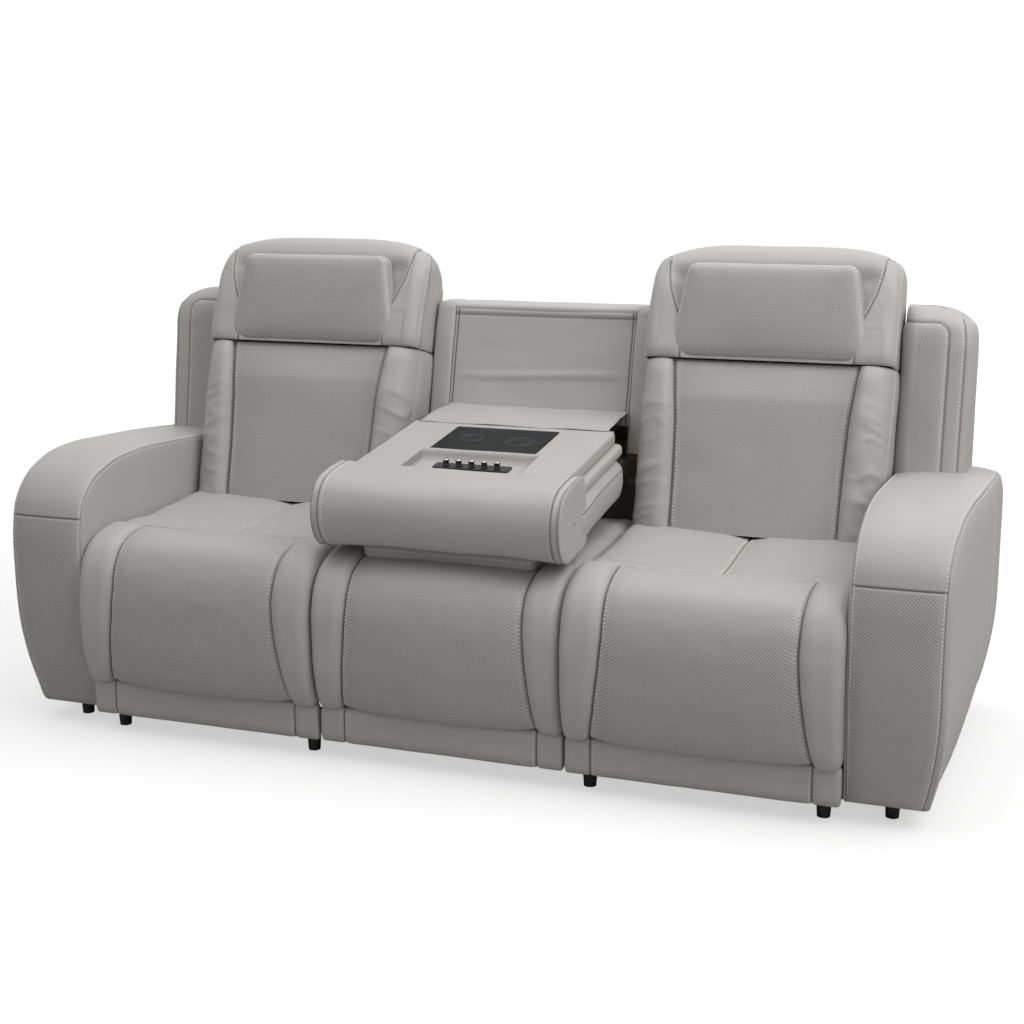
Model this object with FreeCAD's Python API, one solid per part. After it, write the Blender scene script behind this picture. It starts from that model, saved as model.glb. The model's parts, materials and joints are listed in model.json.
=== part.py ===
"""Three-seat reclining sofa whose middle back folds down into a console.

Sizes are millimetres. Heights are above the floor. Until the last step every y is measured
back from the front face of the arms; place() then centres the sofa on its own depth.
The right half is built on +X and mirrored to make the left half.
"""
import FreeCAD, Part
import math
import os
from FreeCAD import Vector

# Overall sizes
SEAT_MODULE_W = 598.0
CENTRE_MODULE_W = 585.0
MODULE_GAP = 1.5
ARM_W = 190.0
ARM_BULGE = 38.0
ARM_DEPTH = 935.0
ARM_SIDE_GAP = 1.5
PAD_REACH = 28.0
FOOT_H = 46.0
RAIL_H = 54.0
RAIL_T = 22.0
PLY_T = 15.0
PLATE_T = 4.0
SLIP = 0.3
PIN_SLIP = 0.05

# Seats
SEAT_TOP = 486.0
SEAT_REAR = 600.0
DECK_Z = 400.0
SEAT_BOARD_H = 63.0
SEAT_BOARD_T = 20.0
STRAP_T = 2.0
STRAP_W = 50.0
STRAP_COUNT = 6
SEAT_FRONT_BOARD_Y = 90.0

# Footrest, hung from a pin near the front edge of the seat
FOOT_PIN = (38.0, 410.0)
FOOT_ROLL_R = 50.0
FOOT_BOARD_T = 12.0
FOOT_BOARD_Y = 28.0
FOOT_BOARD_TOP = 358.0
PAD_BOTTOM = 137.0
STRIP_TOP = 131.0
STRIP_Y = 14.0
PIN_R = 6.0
LINK_PIN_R = 5.0
LINK_W = 22.0
LINK_ARM = (24.0, -84.0)
DRIVE_SHAFT = (215.0, 300.0)
DRIVE_SHAFT_R = 12.0
LINK_PLANE = 34.0
OPEN_PIVOT_SLIP = 0.5

# Reclining backs, drawn upright and then leaned
BACK_LEAN = 15.0
BACK_FOOT = (500.0, 507.0)
BACK_SIDE_GAP = 4.5
BACK_CUSHION_T = 165.0
BACK_FRAME_T = 25.0
BACK_SPLIT = 395.0
BACK_BULGE = 29.0
BACK_PIVOT_UP = -110.0
FRAME_TOP = 570.0
BACK_BOARD_FOOT = 10.0
POST_W = 25.0
SHELL_WALL = 12.0
SHELL_REAR = 868.0
SHELL_FOOT_Z = 345.0
SHELL_KNEE_Z = 640.0
SHELL_CROWN_Z = 1000.0
SHELL_TOP = 655.0
HEAD_ROLL_R = 80.0
HEAD_TILT = 30.0
HEAD_TOP = 678.0
PILLOW_H = 224.0
PILLOW_LIFT = 10.0
PILLOW_W_LOW = 449.0
PILLOW_W_TOP = 377.0

# Middle back panel and the console that folds out of it
PANEL_FOOT = (695.0, 732.0)
PANEL_LEAN = 14.1
CENTRE_POST_W = 46.5
POST_FIT = 0.5
CENTRE_TOP = 982.0
PANEL_T = 12.0
PANEL_BOTTOM = 640.0
POST_NOTCH_Z = 625.0
FLAP_T = 3.0
CONSOLE_REAR = (511.0, 714.0)
CONSOLE_SLOPE = 7.0
CONSOLE_PIVOT = (25.0, -93.3)
DECK_SIDE_INSET = 37.5
DECK_L = 350.0
DECK_T = 30.0
TRAY_HALF_W = 141.0
TRAY_L = 122.0
TRAY_DEPTH = 22.0
GLASS_HALF_W = 132.0
GLASS_BACK = 30.0
GLASS_T = 4.0
BORDER_T = 20.0
CUSHION_DEPTH = 155.0
BOLSTER_L = 180.0
BOLSTER_RISE = 20.0
BOLSTER_ROUND = 82.0
HEAD_PAD_HALF_W = 190.0
HEAD_PAD_L = 217.0
HEAD_PAD_T = 27.0
HEAD_PAD_REACH = 107.0
KNOB_COUNT = 5
KNOB_PITCH = 31.0
KNOB_R = 7.5
KNOB_H = 16.0
KNOB_FROM_FRONT = 65.0
KNOB_PLATE_T = 5.0

XC = CENTRE_MODULE_W / 2
XS = XC + SEAT_MODULE_W
XA = XS + ARM_W
SEAT_X0 = XC + MODULE_GAP
SEAT_X1 = XS - MODULE_GAP
SEAT_MID = (XC + XS) / 2
ARM_X0 = XS + ARM_SIDE_GAP
CENTRE_X = XC - MODULE_GAP
POST_X1 = CENTRE_X - 2
PANEL_HALF_W = POST_X1 - CENTRE_POST_W - POST_FIT
DECK_HALF_W = XC - DECK_SIDE_INSET
TRAY_BACK = DECK_L - TRAY_L
KNOB_BACK = DECK_L - KNOB_FROM_FRONT
RAIL_TOP = FOOT_H + RAIL_H
BOARD_Z0 = DECK_Z - STRAP_T - SEAT_BOARD_H
X_AXIS = Vector(1, 0, 0)


def block(x0, x1, y0, y1, z0, z1):
    return Part.makeBox(x1 - x0, y1 - y0, z1 - z0, Vector(x0, y0, z0))


def rod(x0, x1, yz, radius):
    return Part.makeCylinder(radius, x1 - x0, Vector(x0, yz[0], yz[1]), X_AXIS)


def outline(points, x0, x1, curves=()):
    """A prism along X. curves maps the index of a start point to the points that its
    smooth run goes through before the next corner."""
    curves = dict(curves)
    edges = []
    for i, start in enumerate(points):
        end = points[(i + 1) % len(points)]
        a, b = Vector(x0, *start), Vector(x0, *end)
        if i in curves:
            through = [a] + [Vector(x0, *p) for p in curves[i]] + [b]
            curve = Part.BSplineCurve()
            curve.interpolate(through)
            edges.append(curve.toShape())
        else:
            edges.append(Part.LineSegment(a, b).toShape())
    return Part.Face(Part.Wire(edges)).extrude(Vector(x1 - x0, 0, 0))


def rounded(shape, radius, pick):
    """Fillets the edges for which pick(edge) is true."""
    return shape.makeFillet(radius, [e for e in shape.Edges if pick(e)])


def inset_walls(points, walls):
    """Corners of a convex outline with each edge moved inwards by its wall; edge i runs
    from point i to the next."""
    count = len(points)
    middle = (sum(p[0] for p in points) / count, sum(p[1] for p in points) / count)
    lines = []
    for i in range(count):
        (ay, az), (by, bz) = points[i], points[(i + 1) % count]
        length = math.hypot(by - ay, bz - az)
        ny, nz = -(bz - az) / length, (by - ay) / length
        if (middle[0] - ay) * ny + (middle[1] - az) * nz < 0:
            ny, nz = -ny, -nz
        lines.append((ny, nz, ny * ay + nz * az + walls[i]))
    corners = []
    for i in range(count):
        (a, b, c), (d, e, f) = lines[i - 1], lines[i]
        det = a * e - b * d
        corners.append(((c * e - b * f) / det, (a * f - c * d) / det))
    return corners


def along_x(edge):
    a, b = edge.Vertexes[0].Point, edge.Vertexes[-1].Point
    return abs(a.x - b.x) > 1 and abs(a.y - b.y) < 1e-3 and abs(a.z - b.z) < 1e-3


def at_x_end(shape):
    """Picks the edges that lie in the prism's two end faces."""
    low, high = shape.BoundBox.XMin, shape.BoundBox.XMax

    def pick(edge):
        box = edge.BoundBox
        flat = box.XMax - box.XMin < 1e-3
        return flat and (abs(box.XMin - low) < 1e-3 or abs(box.XMin - high) < 1e-3)

    return pick


def group(solids):
    return Part.makeCompound(solids)


def lean_back(shape):
    """Takes a shape drawn upright, front face at y 0 and foot at z 0, to a reclining back."""
    moved = shape.copy()
    moved.rotate(Vector(0, 0, 0), X_AXIS, -BACK_LEAN)
    moved.translate(Vector(0, *BACK_FOOT))
    return moved


def lay_console(shape):
    """Takes a shape drawn level, rear seam at y 0 and deck top at z 0, to the lowered console."""
    moved = shape.copy()
    moved.rotate(Vector(0, 0, 0), X_AXIS, CONSOLE_SLOPE)
    moved.translate(Vector(0, *CONSOLE_REAR))
    return moved


def back_point(rear, up):
    lean = math.radians(BACK_LEAN)
    return (BACK_FOOT[0] + rear * math.cos(lean) + up * math.sin(lean),
            BACK_FOOT[1] - rear * math.sin(lean) + up * math.cos(lean))


def console_point(y, z):
    slope = math.radians(CONSOLE_SLOPE)
    return (CONSOLE_REAR[0] + y * math.cos(slope) - z * math.sin(slope),
            CONSOLE_REAR[1] + y * math.sin(slope) + z * math.cos(slope))


BACK_PIVOT = back_point(BACK_CUSHION_T + BACK_FRAME_T / 2, BACK_PIVOT_UP)
HEAD_PIVOT_LOCAL = (HEAD_ROLL_R, BACK_SPLIT)
CONSOLE_HINGE = console_point(*CONSOLE_PIVOT)

# Arms and wings

ARM_TOP_MID = (520.0, 634.0)
ARM_TOP_REAR_Z = 600.0
ARM_FRAME_X0 = ARM_X0 + 13
ARM_FRAME_X1 = XA - 20
ARM_FRAME_Y0 = 75.0
ARM_FRAME_Y1 = ARM_DEPTH - 30
ARM_FRAME_TOP = 555.0
FOOT_BOARD_L = 90.0
WING_W = 160.0
WING_TOP = 1008.0
WING_REAR = ARM_DEPTH - 6
WING_FOOT_L = 274.0
WING_FOOT_MID = (207.0, 28.0)
WING_CROWN = (177.0, 45.0)
WING_REAR_DROP = 46.0
WING_POST = (ARM_X0 + 43, ARM_X0 + 123, ARM_DEPTH - 120, ARM_DEPTH - 95, 400.0, WING_TOP - 78)
SKY = 2000.0


def arm_cover():
    side = outline(
        [(52, FOOT_H), ARM_TOP_MID, (ARM_DEPTH, ARM_TOP_REAR_Z), (ARM_DEPTH, FOOT_H)],
        ARM_X0, XA + ARM_BULGE,
        {0: [(25, 163), (2, 284), (0, 400), (4, 520), (36, 575), (110, 618), (265, 646)]})
    plan = Part.Face(Part.Wire([
        Part.LineSegment(Vector(ARM_X0, -60, 0), Vector(XA - 8, -60, 0)).toShape(),
        Part.Arc(Vector(XA - 8, -60, 0), Vector(XA + ARM_BULGE * 0.75, ARM_DEPTH * 0.4, 0),
                 Vector(XA + ARM_BULGE, ARM_DEPTH, 0)).toShape(),
        Part.LineSegment(Vector(XA + ARM_BULGE, ARM_DEPTH, 0), Vector(ARM_X0, ARM_DEPTH, 0)).toShape(),
        Part.LineSegment(Vector(ARM_X0, ARM_DEPTH, 0), Vector(ARM_X0, -60, 0)).toShape()]))
    cover = side.common(plan.extrude(Vector(0, 0, SKY)))
    inner_side = block(0, ARM_FRAME_X0, -SKY, SKY, 0, SKY)
    outer_side = block(ARM_FRAME_X1, SKY, -SKY, SKY, 0, SKY)
    between = (ARM_FRAME_X0, ARM_FRAME_X1)
    front = block(*between, -SKY, ARM_FRAME_Y0, 0, ARM_FRAME_TOP)
    rear = block(*between, ARM_FRAME_Y1, SKY, 0, ARM_FRAME_TOP)
    top = block(*between, -SKY, SKY, ARM_FRAME_TOP, SKY).cut(block(*WING_POST))
    return [cover.common(part) for part in (inner_side, outer_side, front, rear, top)]


def arm_frame():
    x0, x1, y0, y1 = ARM_FRAME_X0, ARM_FRAME_X1, ARM_FRAME_Y0, ARM_FRAME_Y1
    inner = block(x0, x0 + PLY_T, y0, y1, FOOT_H, ARM_FRAME_TOP)
    outer = block(x1 - PLY_T, x1, y0, y1, FOOT_H, ARM_FRAME_TOP)
    between = (x0 + PLY_T, x1 - PLY_T)
    front = block(*between, y0, y0 + PLY_T, FOOT_H, ARM_FRAME_TOP)
    rear = block(*between, y1 - PLY_T, y1, FOOT_H, ARM_FRAME_TOP)
    floors = [block(*between, y, y + FOOT_BOARD_L, FOOT_H, FOOT_H + PLY_T)
              for y in (y0 + PLY_T, y1 - PLY_T - FOOT_BOARD_L)]
    top = block(*between, y0 + PLY_T, y1 - PLY_T, ARM_FRAME_TOP - PLY_T, ARM_FRAME_TOP)
    post = block(*WING_POST)
    return [inner, outer, front, rear, top.cut(post), post] + floors


def wing():
    def arm_top(y):
        run = (y - ARM_TOP_MID[0]) / (ARM_DEPTH - ARM_TOP_MID[0])
        return ARM_TOP_MID[1] + run * (ARM_TOP_REAR_Z - ARM_TOP_MID[1])
    front, rear = WING_REAR - WING_FOOT_L, WING_REAR
    solid = outline(
        [(front, arm_top(front)), (rear - WING_FOOT_MID[0], WING_TOP - WING_FOOT_MID[1]),
         (rear - WING_CROWN[0], WING_TOP), (rear - WING_CROWN[1], WING_TOP),
         (rear, WING_TOP - WING_REAR_DROP), (rear, arm_top(rear))], ARM_X0, ARM_X0 + WING_W)
    outer_top = ARM_X0 + WING_W

    def pick(edge):
        box = edge.BoundBox
        return box.XMin > outer_top - 1 and box.ZMax > WING_TOP - WING_REAR_DROP - 100
    return rounded(solid, 34.0, pick).cut(block(*WING_POST))


# Frame under the seats

def rails(x0, x1, rear_y):
    return [block(x0, x0 + RAIL_T, 60, rear_y, FOOT_H, RAIL_TOP),
            block(x1 - RAIL_T, x1, 60, rear_y, FOOT_H, RAIL_TOP),
            block(x0 + RAIL_T, x1 - RAIL_T, 60, 60 + RAIL_T, FOOT_H, RAIL_TOP),
            block(x0 + RAIL_T, x1 - RAIL_T, rear_y - RAIL_T, rear_y, FOOT_H, RAIL_TOP)]


SIDE_RAIL_REAR = 860.0
JOINER_L = 60.0
JOINER_YS = (160.0, 700.0)


def joiners():
    """Packing blocks that bolt each module's rails to its neighbour or to the arm."""
    pieces = []
    for x0, x1 in ((CENTRE_X, SEAT_X0), (SEAT_X1, ARM_X0)):
        for y in JOINER_YS:
            piece = block(x0, x1, y, y + JOINER_L, FOOT_H + 8, RAIL_TOP - 8)
            pieces += [piece, mirrored(piece)]
    return pieces


def base_frame():
    right = rails(SEAT_X0, SEAT_X1, SIDE_RAIL_REAR)
    middle = rails(-CENTRE_X, CENTRE_X, SIDE_RAIL_REAR)
    return right + [mirrored(s) for s in right] + middle + joiners()


def feet():
    spots = [(ARM_FRAME_X0 + 78, ARM_FRAME_Y0 + 40), (ARM_FRAME_X0 + 78, ARM_FRAME_Y1 - 40)]
    for x in (SEAT_X0 + RAIL_T + 20, SEAT_X1 - RAIL_T - 20):
        spots += [(x, 60 + RAIL_T / 2), (x, SIDE_RAIL_REAR - RAIL_T / 2)]
    made = []
    for x, y in spots:
        for side in (1, -1):
            made.append(Part.makeCone(14, 17, FOOT_H, Vector(side * x, y, 0), Vector(0, 0, 1)))
    return made


# Seats

SEAT_FRONT_Y = FOOT_PIN[0] + FOOT_ROLL_R + SLIP


def seat_boards(x0, x1):
    y0, y1, t = SEAT_FRONT_BOARD_Y, SEAT_REAR, SEAT_BOARD_T
    z1 = DECK_Z - STRAP_T
    return [block(x0, x0 + t, y0, y1, BOARD_Z0, z1), block(x1 - t, x1, y0, y1, BOARD_Z0, z1),
            block(x0 + t, x1 - t, y0, y0 + t, BOARD_Z0, z1),
            block(x0 + t, x1 - t, y1 - t, y1, BOARD_Z0, z1)]


def seat_straps(x0, x1):
    pitch = (x1 - x0 - STRAP_W) / (STRAP_COUNT - 1)
    return [block(x0 + i * pitch, x0 + i * pitch + STRAP_W, SEAT_FRONT_BOARD_Y, SEAT_REAR,
                  DECK_Z - STRAP_T, DECK_Z) for i in range(STRAP_COUNT)]


def seat_cushion():
    crest = BACK_FOOT[0] + 8
    return outline(
        [(SEAT_FRONT_Y, DECK_Z), (SEAT_FRONT_Y, SEAT_TOP - 12), (crest, SEAT_TOP),
         (SEAT_REAR, SEAT_TOP - 22), (SEAT_REAR, DECK_Z)],
        SEAT_X0, SEAT_X1, {1: [(140, SEAT_TOP - 4), (240, SEAT_TOP - 7), (400, SEAT_TOP - 4)]})


def footrest_pad():
    x0, x1 = SEAT_X0 + 14, SEAT_X1 - 14
    slab = outline(
        [(8, PAD_BOTTOM), (-FOOT_ROLL_R + FOOT_PIN[0], FOOT_PIN[1]), (FOOT_BOARD_Y, FOOT_PIN[1]),
         (FOOT_BOARD_Y, PAD_BOTTOM)], x0, x1,
        {0: [(-16, 190), (-PAD_REACH + 1, 260), (-PAD_REACH, 300), (-24, 360)]})
    roll = rod(x0, x1, FOOT_PIN, FOOT_ROLL_R)
    pad = slab.fuse(roll).removeSplitter()
    return pad.cut(rod(x0, x1, FOOT_PIN, PIN_R + 4))


def footrest_strip():
    return block(SEAT_X0 + 2, SEAT_X1 - 2, STRIP_Y, FOOT_BOARD_Y, FOOT_H + 1, STRIP_TOP)


def footrest_board():
    """Plywood board with a steel end plate and a drive lug at each side."""
    x0, x1 = SEAT_X0 + 8, SEAT_X1 - 8
    rear = FOOT_BOARD_Y + FOOT_BOARD_T
    board = block(x0 + PLATE_T, x1 - PLATE_T, FOOT_BOARD_Y, rear, FOOT_H + 4, FOOT_BOARD_TOP)
    pieces = [board]
    lug_pin = (FOOT_PIN[0] + LINK_ARM[0], FOOT_PIN[1] + LINK_ARM[1])
    for low in (True, False):
        px = x0 if low else x1 - PLATE_T
        plate = outline(
            [(FOOT_BOARD_Y, 280), (FOOT_BOARD_Y - 2, FOOT_PIN[1]), (FOOT_PIN[0], FOOT_PIN[1] + 16),
             (FOOT_PIN[0] + 16, FOOT_PIN[1]), (rear, 330), (rear, 280)], px, px + PLATE_T)
        pieces.append(plate.cut(rod(px, px + PLATE_T, FOOT_PIN, PIN_R + PIN_SLIP)))
        lx = SEAT_X0 + LINK_PLANE if low else SEAT_X1 - LINK_PLANE - PLATE_T
        lug = outline([(rear, lug_pin[1] - 14), (rear, lug_pin[1] + 14),
                       (lug_pin[0] + 12, lug_pin[1] + 8), (lug_pin[0] + 12, lug_pin[1] - 8)],
                      lx, lx + PLATE_T)
        pin_x = (lx, lx + 2 * PLATE_T + 2) if low else (lx - PLATE_T - 2, lx + PLATE_T)
        pieces.append(lug.fuse(rod(*pin_x, lug_pin, LINK_PIN_R)))
    return pieces


def bar(x0, x1, a, b, hole_a, hole_b):
    """A flat link from a to b with round ends and a hole at each."""
    ay, az, by, bz = *a, *b
    length = math.hypot(by - ay, bz - az)
    ny, nz = -(bz - az) / length * LINK_W / 2, (by - ay) / length * LINK_W / 2
    body = outline([(ay + ny, az + nz), (by + ny, bz + nz), (by - ny, bz - nz), (ay - ny, az - nz)], x0, x1)
    body = body.fuse(rod(x0, x1, a, LINK_W / 2)).fuse(rod(x0, x1, b, LINK_W / 2)).removeSplitter()
    for at, radius in ((a, hole_a), (b, hole_b)):
        if radius:
            body = body.cut(rod(x0, x1, at, radius))
    return body


CRANK_PIN = (DRIVE_SHAFT[0] + LINK_ARM[0], DRIVE_SHAFT[1] + LINK_ARM[1])
LUG_PIN = (FOOT_PIN[0] + LINK_ARM[0], FOOT_PIN[1] + LINK_ARM[1])


def drive_cranks():
    """The cross shaft with a crank at each end, each with its pin."""
    x0, x1 = SEAT_X0 + PLATE_T + SLIP, SEAT_X1 - PLATE_T - SLIP
    shaft = rod(x0, x1, DRIVE_SHAFT, DRIVE_SHAFT_R)
    for low in (True, False):
        cx = SEAT_X0 + LINK_PLANE if low else SEAT_X1 - LINK_PLANE - PLATE_T
        crank = bar(cx, cx + PLATE_T, DRIVE_SHAFT, CRANK_PIN, 0, 0)
        pin_x = (cx, cx + 2 * PLATE_T + 2) if low else (cx - PLATE_T - 2, cx + PLATE_T)
        shaft = shaft.fuse(crank).fuse(rod(*pin_x, CRANK_PIN, LINK_PIN_R))
    return shaft.removeSplitter()


def coupler_links():
    pieces = []
    for low in (True, False):
        lx = SEAT_X0 + LINK_PLANE + PLATE_T + 1 if low else SEAT_X1 - LINK_PLANE - 2 * PLATE_T - 1
        pieces.append(bar(lx, lx + PLATE_T, LUG_PIN, CRANK_PIN,
                          LINK_PIN_R + OPEN_PIVOT_SLIP, LINK_PIN_R + PIN_SLIP))
    return pieces


def seat_hardware():
    """Steel side plates that slide on the rails, their pivot pins, the drive motor and its bar."""
    pieces = []
    by, bz = BACK_PIVOT
    fy, fz = FOOT_PIN
    deck = DECK_Z - STRAP_T
    post_reach = BACK_SIDE_GAP - PLATE_T + SHELL_WALL + POST_W + 4.5
    for low in (True, False):
        px = SEAT_X0 if low else SEAT_X1 - PLATE_T
        plate = outline(
            [(110, RAIL_TOP + SLIP), (SEAT_REAR, RAIL_TOP + SLIP), (by + 25, bz - 30), (by + 25, bz + 22),
             (SEAT_REAR, deck), (SEAT_FRONT_Y - 3, deck), (fy + 12, fz + 13), (fy - 12, fz + 10),
             (fy - 12, fz - 14), (SEAT_FRONT_BOARD_Y, BOARD_Z0), (110, 250)], px, px + PLATE_T)
        pieces.append(plate.cut(rod(px, px + PLATE_T, DRIVE_SHAFT, DRIVE_SHAFT_R * 0.6)))
        for at, length in ((FOOT_PIN, 13), (BACK_PIVOT, post_reach)):
            pin_x = (px + PLATE_T, px + PLATE_T + length) if low else (px - length, px)
            pieces.append(rod(*pin_x, at, PIN_R))
    sy, sz = DRIVE_SHAFT
    motor = block(SEAT_MID - 70, SEAT_MID + 70, sy - 32, sy + 85, sz - 32, sz + 32)
    shaft_hole = rod(SEAT_MID - 70, SEAT_MID + 70, DRIVE_SHAFT, DRIVE_SHAFT_R + PIN_SLIP)
    motor = rounded(motor, 8.0, along_x).cut(shaft_hole)
    cross = block(SEAT_X0 + PLATE_T, SEAT_X1 - PLATE_T, sy + 85, sy + 110, sz - 20, sz + 5)
    return pieces + [motor, cross]


# Reclining backs, in the upright drawing frame: y runs from front to rear, z up

BACK_X0 = SEAT_X0 + BACK_SIDE_GAP
BACK_X1 = SEAT_X1 - BACK_SIDE_GAP
BEARING_T = 5.0
CORE_X0 = BACK_X0 + BEARING_T + 2
CORE_X1 = BACK_X1 - BEARING_T - 2
HEAD_PIN_R = 6.0
MOTOR_R = 28.0
MOTOR_HALF_L = 60.0


def bearing_plate(x0):
    py, pz = HEAD_PIVOT_LOCAL
    return outline([(py - 16, pz - 16), (py - 16, pz + 16), (py + 16, pz + 16),
                    (BACK_CUSHION_T, pz - 10), (BACK_CUSHION_T, pz - 60)], x0, x0 + BEARING_T)


def motor_arm():
    py, pz = HEAD_PIVOT_LOCAL
    return block(SEAT_MID - 4, SEAT_MID + 4, py, BACK_CUSHION_T, pz - 24, pz - 4)


def back_cushion():
    py, pz = HEAD_PIVOT_LOCAL
    solid = outline(
        [(4, 0), (-BACK_BULGE + 9, BACK_SPLIT - 26), (-6, BACK_SPLIT - 3), (BACK_CUSHION_T, BACK_SPLIT - 3),
         (BACK_CUSHION_T, 0)],
        BACK_X0, BACK_X1, {0: [(-14, 45), (-BACK_BULGE + 1, 150), (-BACK_BULGE, 270)]})
    solid = solid.cut(rod(BACK_X0, BACK_X1, HEAD_PIVOT_LOCAL, HEAD_ROLL_R + SLIP))
    for x in (BACK_X0, BACK_X1 - BEARING_T):
        solid = solid.cut(bearing_plate(x))
    return solid.cut(motor_arm())


def back_frame():
    y0, y1 = BACK_CUSHION_T, BACK_CUSHION_T + BACK_FRAME_T
    inset = SHELL_WALL
    pieces = []
    for x in (BACK_X0 + inset, BACK_X1 - inset - POST_W):
        post = block(x, x + POST_W, y0, y1, BACK_PIVOT_UP - 15, FRAME_TOP)
        pivot = (BACK_CUSHION_T + BACK_FRAME_T / 2, BACK_PIVOT_UP)
        pieces.append(post.cut(rod(x, x + POST_W, pivot, PIN_R + PIN_SLIP)))
    across = (BACK_X0 + inset + POST_W, BACK_X1 - inset - POST_W)
    pieces.append(block(*across, y0, y0 + PLY_T, BACK_BOARD_FOOT, FRAME_TOP))
    return pieces


def back_shell():
    """Hard rear cover: a leather-wrapped tray that closes the frame in from behind."""
    lean = math.radians(BACK_LEAN)

    def upright(y, z):
        dy, dz = y - BACK_FOOT[0], z - BACK_FOOT[1]
        return (dy * math.cos(lean) - dz * math.sin(lean), dy * math.sin(lean) + dz * math.cos(lean))

    front = BACK_CUSHION_T
    points = [(front, BACK_PIVOT_UP - 12), (front, SHELL_TOP), (front + 30, SHELL_TOP - 5),
              upright(SHELL_REAR, SHELL_CROWN_Z), upright(SHELL_REAR, SHELL_KNEE_Z),
              upright(SHELL_REAR - 10, SHELL_FOOT_Z)]
    walls = [0] + [SHELL_WALL] * (len(points) - 1)
    inner = inset_walls(points, walls)
    pivot = (BACK_CUSHION_T + BACK_FRAME_T / 2, BACK_PIVOT_UP)
    pieces = []
    for x in (BACK_X0, BACK_X1 - SHELL_WALL):
        side = outline(points, x, x + SHELL_WALL)
        pieces.append(side.cut(rod(x, x + SHELL_WALL, pivot, PIN_R + 1.5)))
    between = (BACK_X0 + SHELL_WALL, BACK_X1 - SHELL_WALL)
    posts = block(*between, front - 1, front + BACK_FRAME_T, BACK_PIVOT_UP - 90, BACK_PIVOT_UP + 50)
    for i in range(1, len(points)):
        j = (i + 1) % len(points)
        panel = outline([points[i], points[j], inner[j], inner[i]], *between)
        pieces.append(panel.cut(posts))
    return pieces


def headrest_core():
    top = HEAD_TOP
    rise = math.radians(HEAD_TILT + 3)
    chin = (HEAD_ROLL_R * (1 - math.cos(rise)), BACK_SPLIT + HEAD_ROLL_R * math.sin(rise))
    solid = outline(
        [(HEAD_ROLL_R, BACK_SPLIT), chin, (64, top), (110, top - 4), (160, 610), (160, BACK_SPLIT)],
        CORE_X0, CORE_X1, {1: [(20, 510), (38, 610)], 3: [(142, top - 26)]})
    roll = rod(CORE_X0, CORE_X1, HEAD_PIVOT_LOCAL, HEAD_ROLL_R)
    core = solid.fuse(roll).removeSplitter()
    py, pz = HEAD_PIVOT_LOCAL
    core = core.cut(rod(CORE_X0, CORE_X1, HEAD_PIVOT_LOCAL, HEAD_PIN_R))
    core = core.cut(rod(SEAT_MID - MOTOR_HALF_L, SEAT_MID + MOTOR_HALF_L, HEAD_PIVOT_LOCAL, MOTOR_R + SLIP))
    return core.cut(block(SEAT_MID - 6, SEAT_MID + 6, py - 1, BACK_CUSHION_T, pz - 90, pz + 60))


def headrest_pillow():
    z0, z1 = BACK_SPLIT + PILLOW_LIFT, BACK_SPLIT + PILLOW_LIFT + PILLOW_H
    solid = outline([(16, z0), (-18, z1), (50, z1), (40, z0)],
                    SEAT_MID - PILLOW_W_LOW / 2, SEAT_MID + PILLOW_W_LOW / 2)
    taper = (PILLOW_W_LOW - PILLOW_W_TOP) / 2
    half = PILLOW_W_LOW / 2
    trim = Part.Face(Part.makePolygon([
        Vector(SEAT_MID - half, -40, z0), Vector(SEAT_MID + half, -40, z0),
        Vector(SEAT_MID + half - taper, -40, z1), Vector(SEAT_MID - half + taper, -40, z1),
        Vector(SEAT_MID - half, -40, z0)])).extrude(Vector(0, 120, 0))
    return solid.common(trim).cut(headrest_core())


def headrest_rods():
    return [rod(CORE_X0 - BEARING_T - 1, SEAT_MID - MOTOR_HALF_L, HEAD_PIVOT_LOCAL, HEAD_PIN_R),
            rod(SEAT_MID + MOTOR_HALF_L, CORE_X1 + BEARING_T + 1, HEAD_PIVOT_LOCAL, HEAD_PIN_R)]


def headrest_motor():
    pieces = []
    for x in (BACK_X0, BACK_X1 - BEARING_T):
        pieces.append(bearing_plate(x).cut(rod(x, x + BEARING_T, HEAD_PIVOT_LOCAL, HEAD_PIN_R + PIN_SLIP)))
    motor = rod(SEAT_MID - MOTOR_HALF_L, SEAT_MID + MOTOR_HALF_L, HEAD_PIVOT_LOCAL, MOTOR_R)
    pieces.append(motor.fuse(motor_arm()).removeSplitter())
    return pieces


# Middle seat and the frame behind it

CENTRE_BOARD_Y = 45.0


def centre_seat_cushion():
    return outline(
        [(12, PAD_BOTTOM), (SEAT_FRONT_Y, 470), (SEAT_REAR, SEAT_TOP - 6), (SEAT_REAR, DECK_Z),
         (CENTRE_BOARD_Y, DECK_Z), (CENTRE_BOARD_Y, PAD_BOTTOM)], -CENTRE_X, CENTRE_X,
        {0: [(-10, 190), (-22, 260), (-22, 310), (-8, 400), (30, 450)], 1: [(200, 474), (420, 474)]})


def centre_front_strip():
    return block(-CENTRE_X + 2, CENTRE_X - 2, STRIP_Y + 3, CENTRE_BOARD_Y, FOOT_H + 1, STRIP_TOP)


def centre_seat_frame():
    front = block(-CENTRE_X, CENTRE_X, CENTRE_BOARD_Y, CENTRE_BOARD_Y + 12, FOOT_H + 4, DECK_Z)
    legs = [block(x, x + 20, y, y + 20, RAIL_TOP, BOARD_Z0)
            for x in (-CENTRE_X, CENTRE_X - 20) for y in (SEAT_FRONT_BOARD_Y, SEAT_REAR - 20)]
    nailers = [block(x, x + 20, CENTRE_BOARD_Y + 12, SEAT_FRONT_BOARD_Y, BOARD_Z0, DECK_Z - STRAP_T)
               for x in (-CENTRE_X, CENTRE_X - 20)]
    return seat_boards(-CENTRE_X, CENTRE_X) + [front] + legs + nailers


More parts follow.
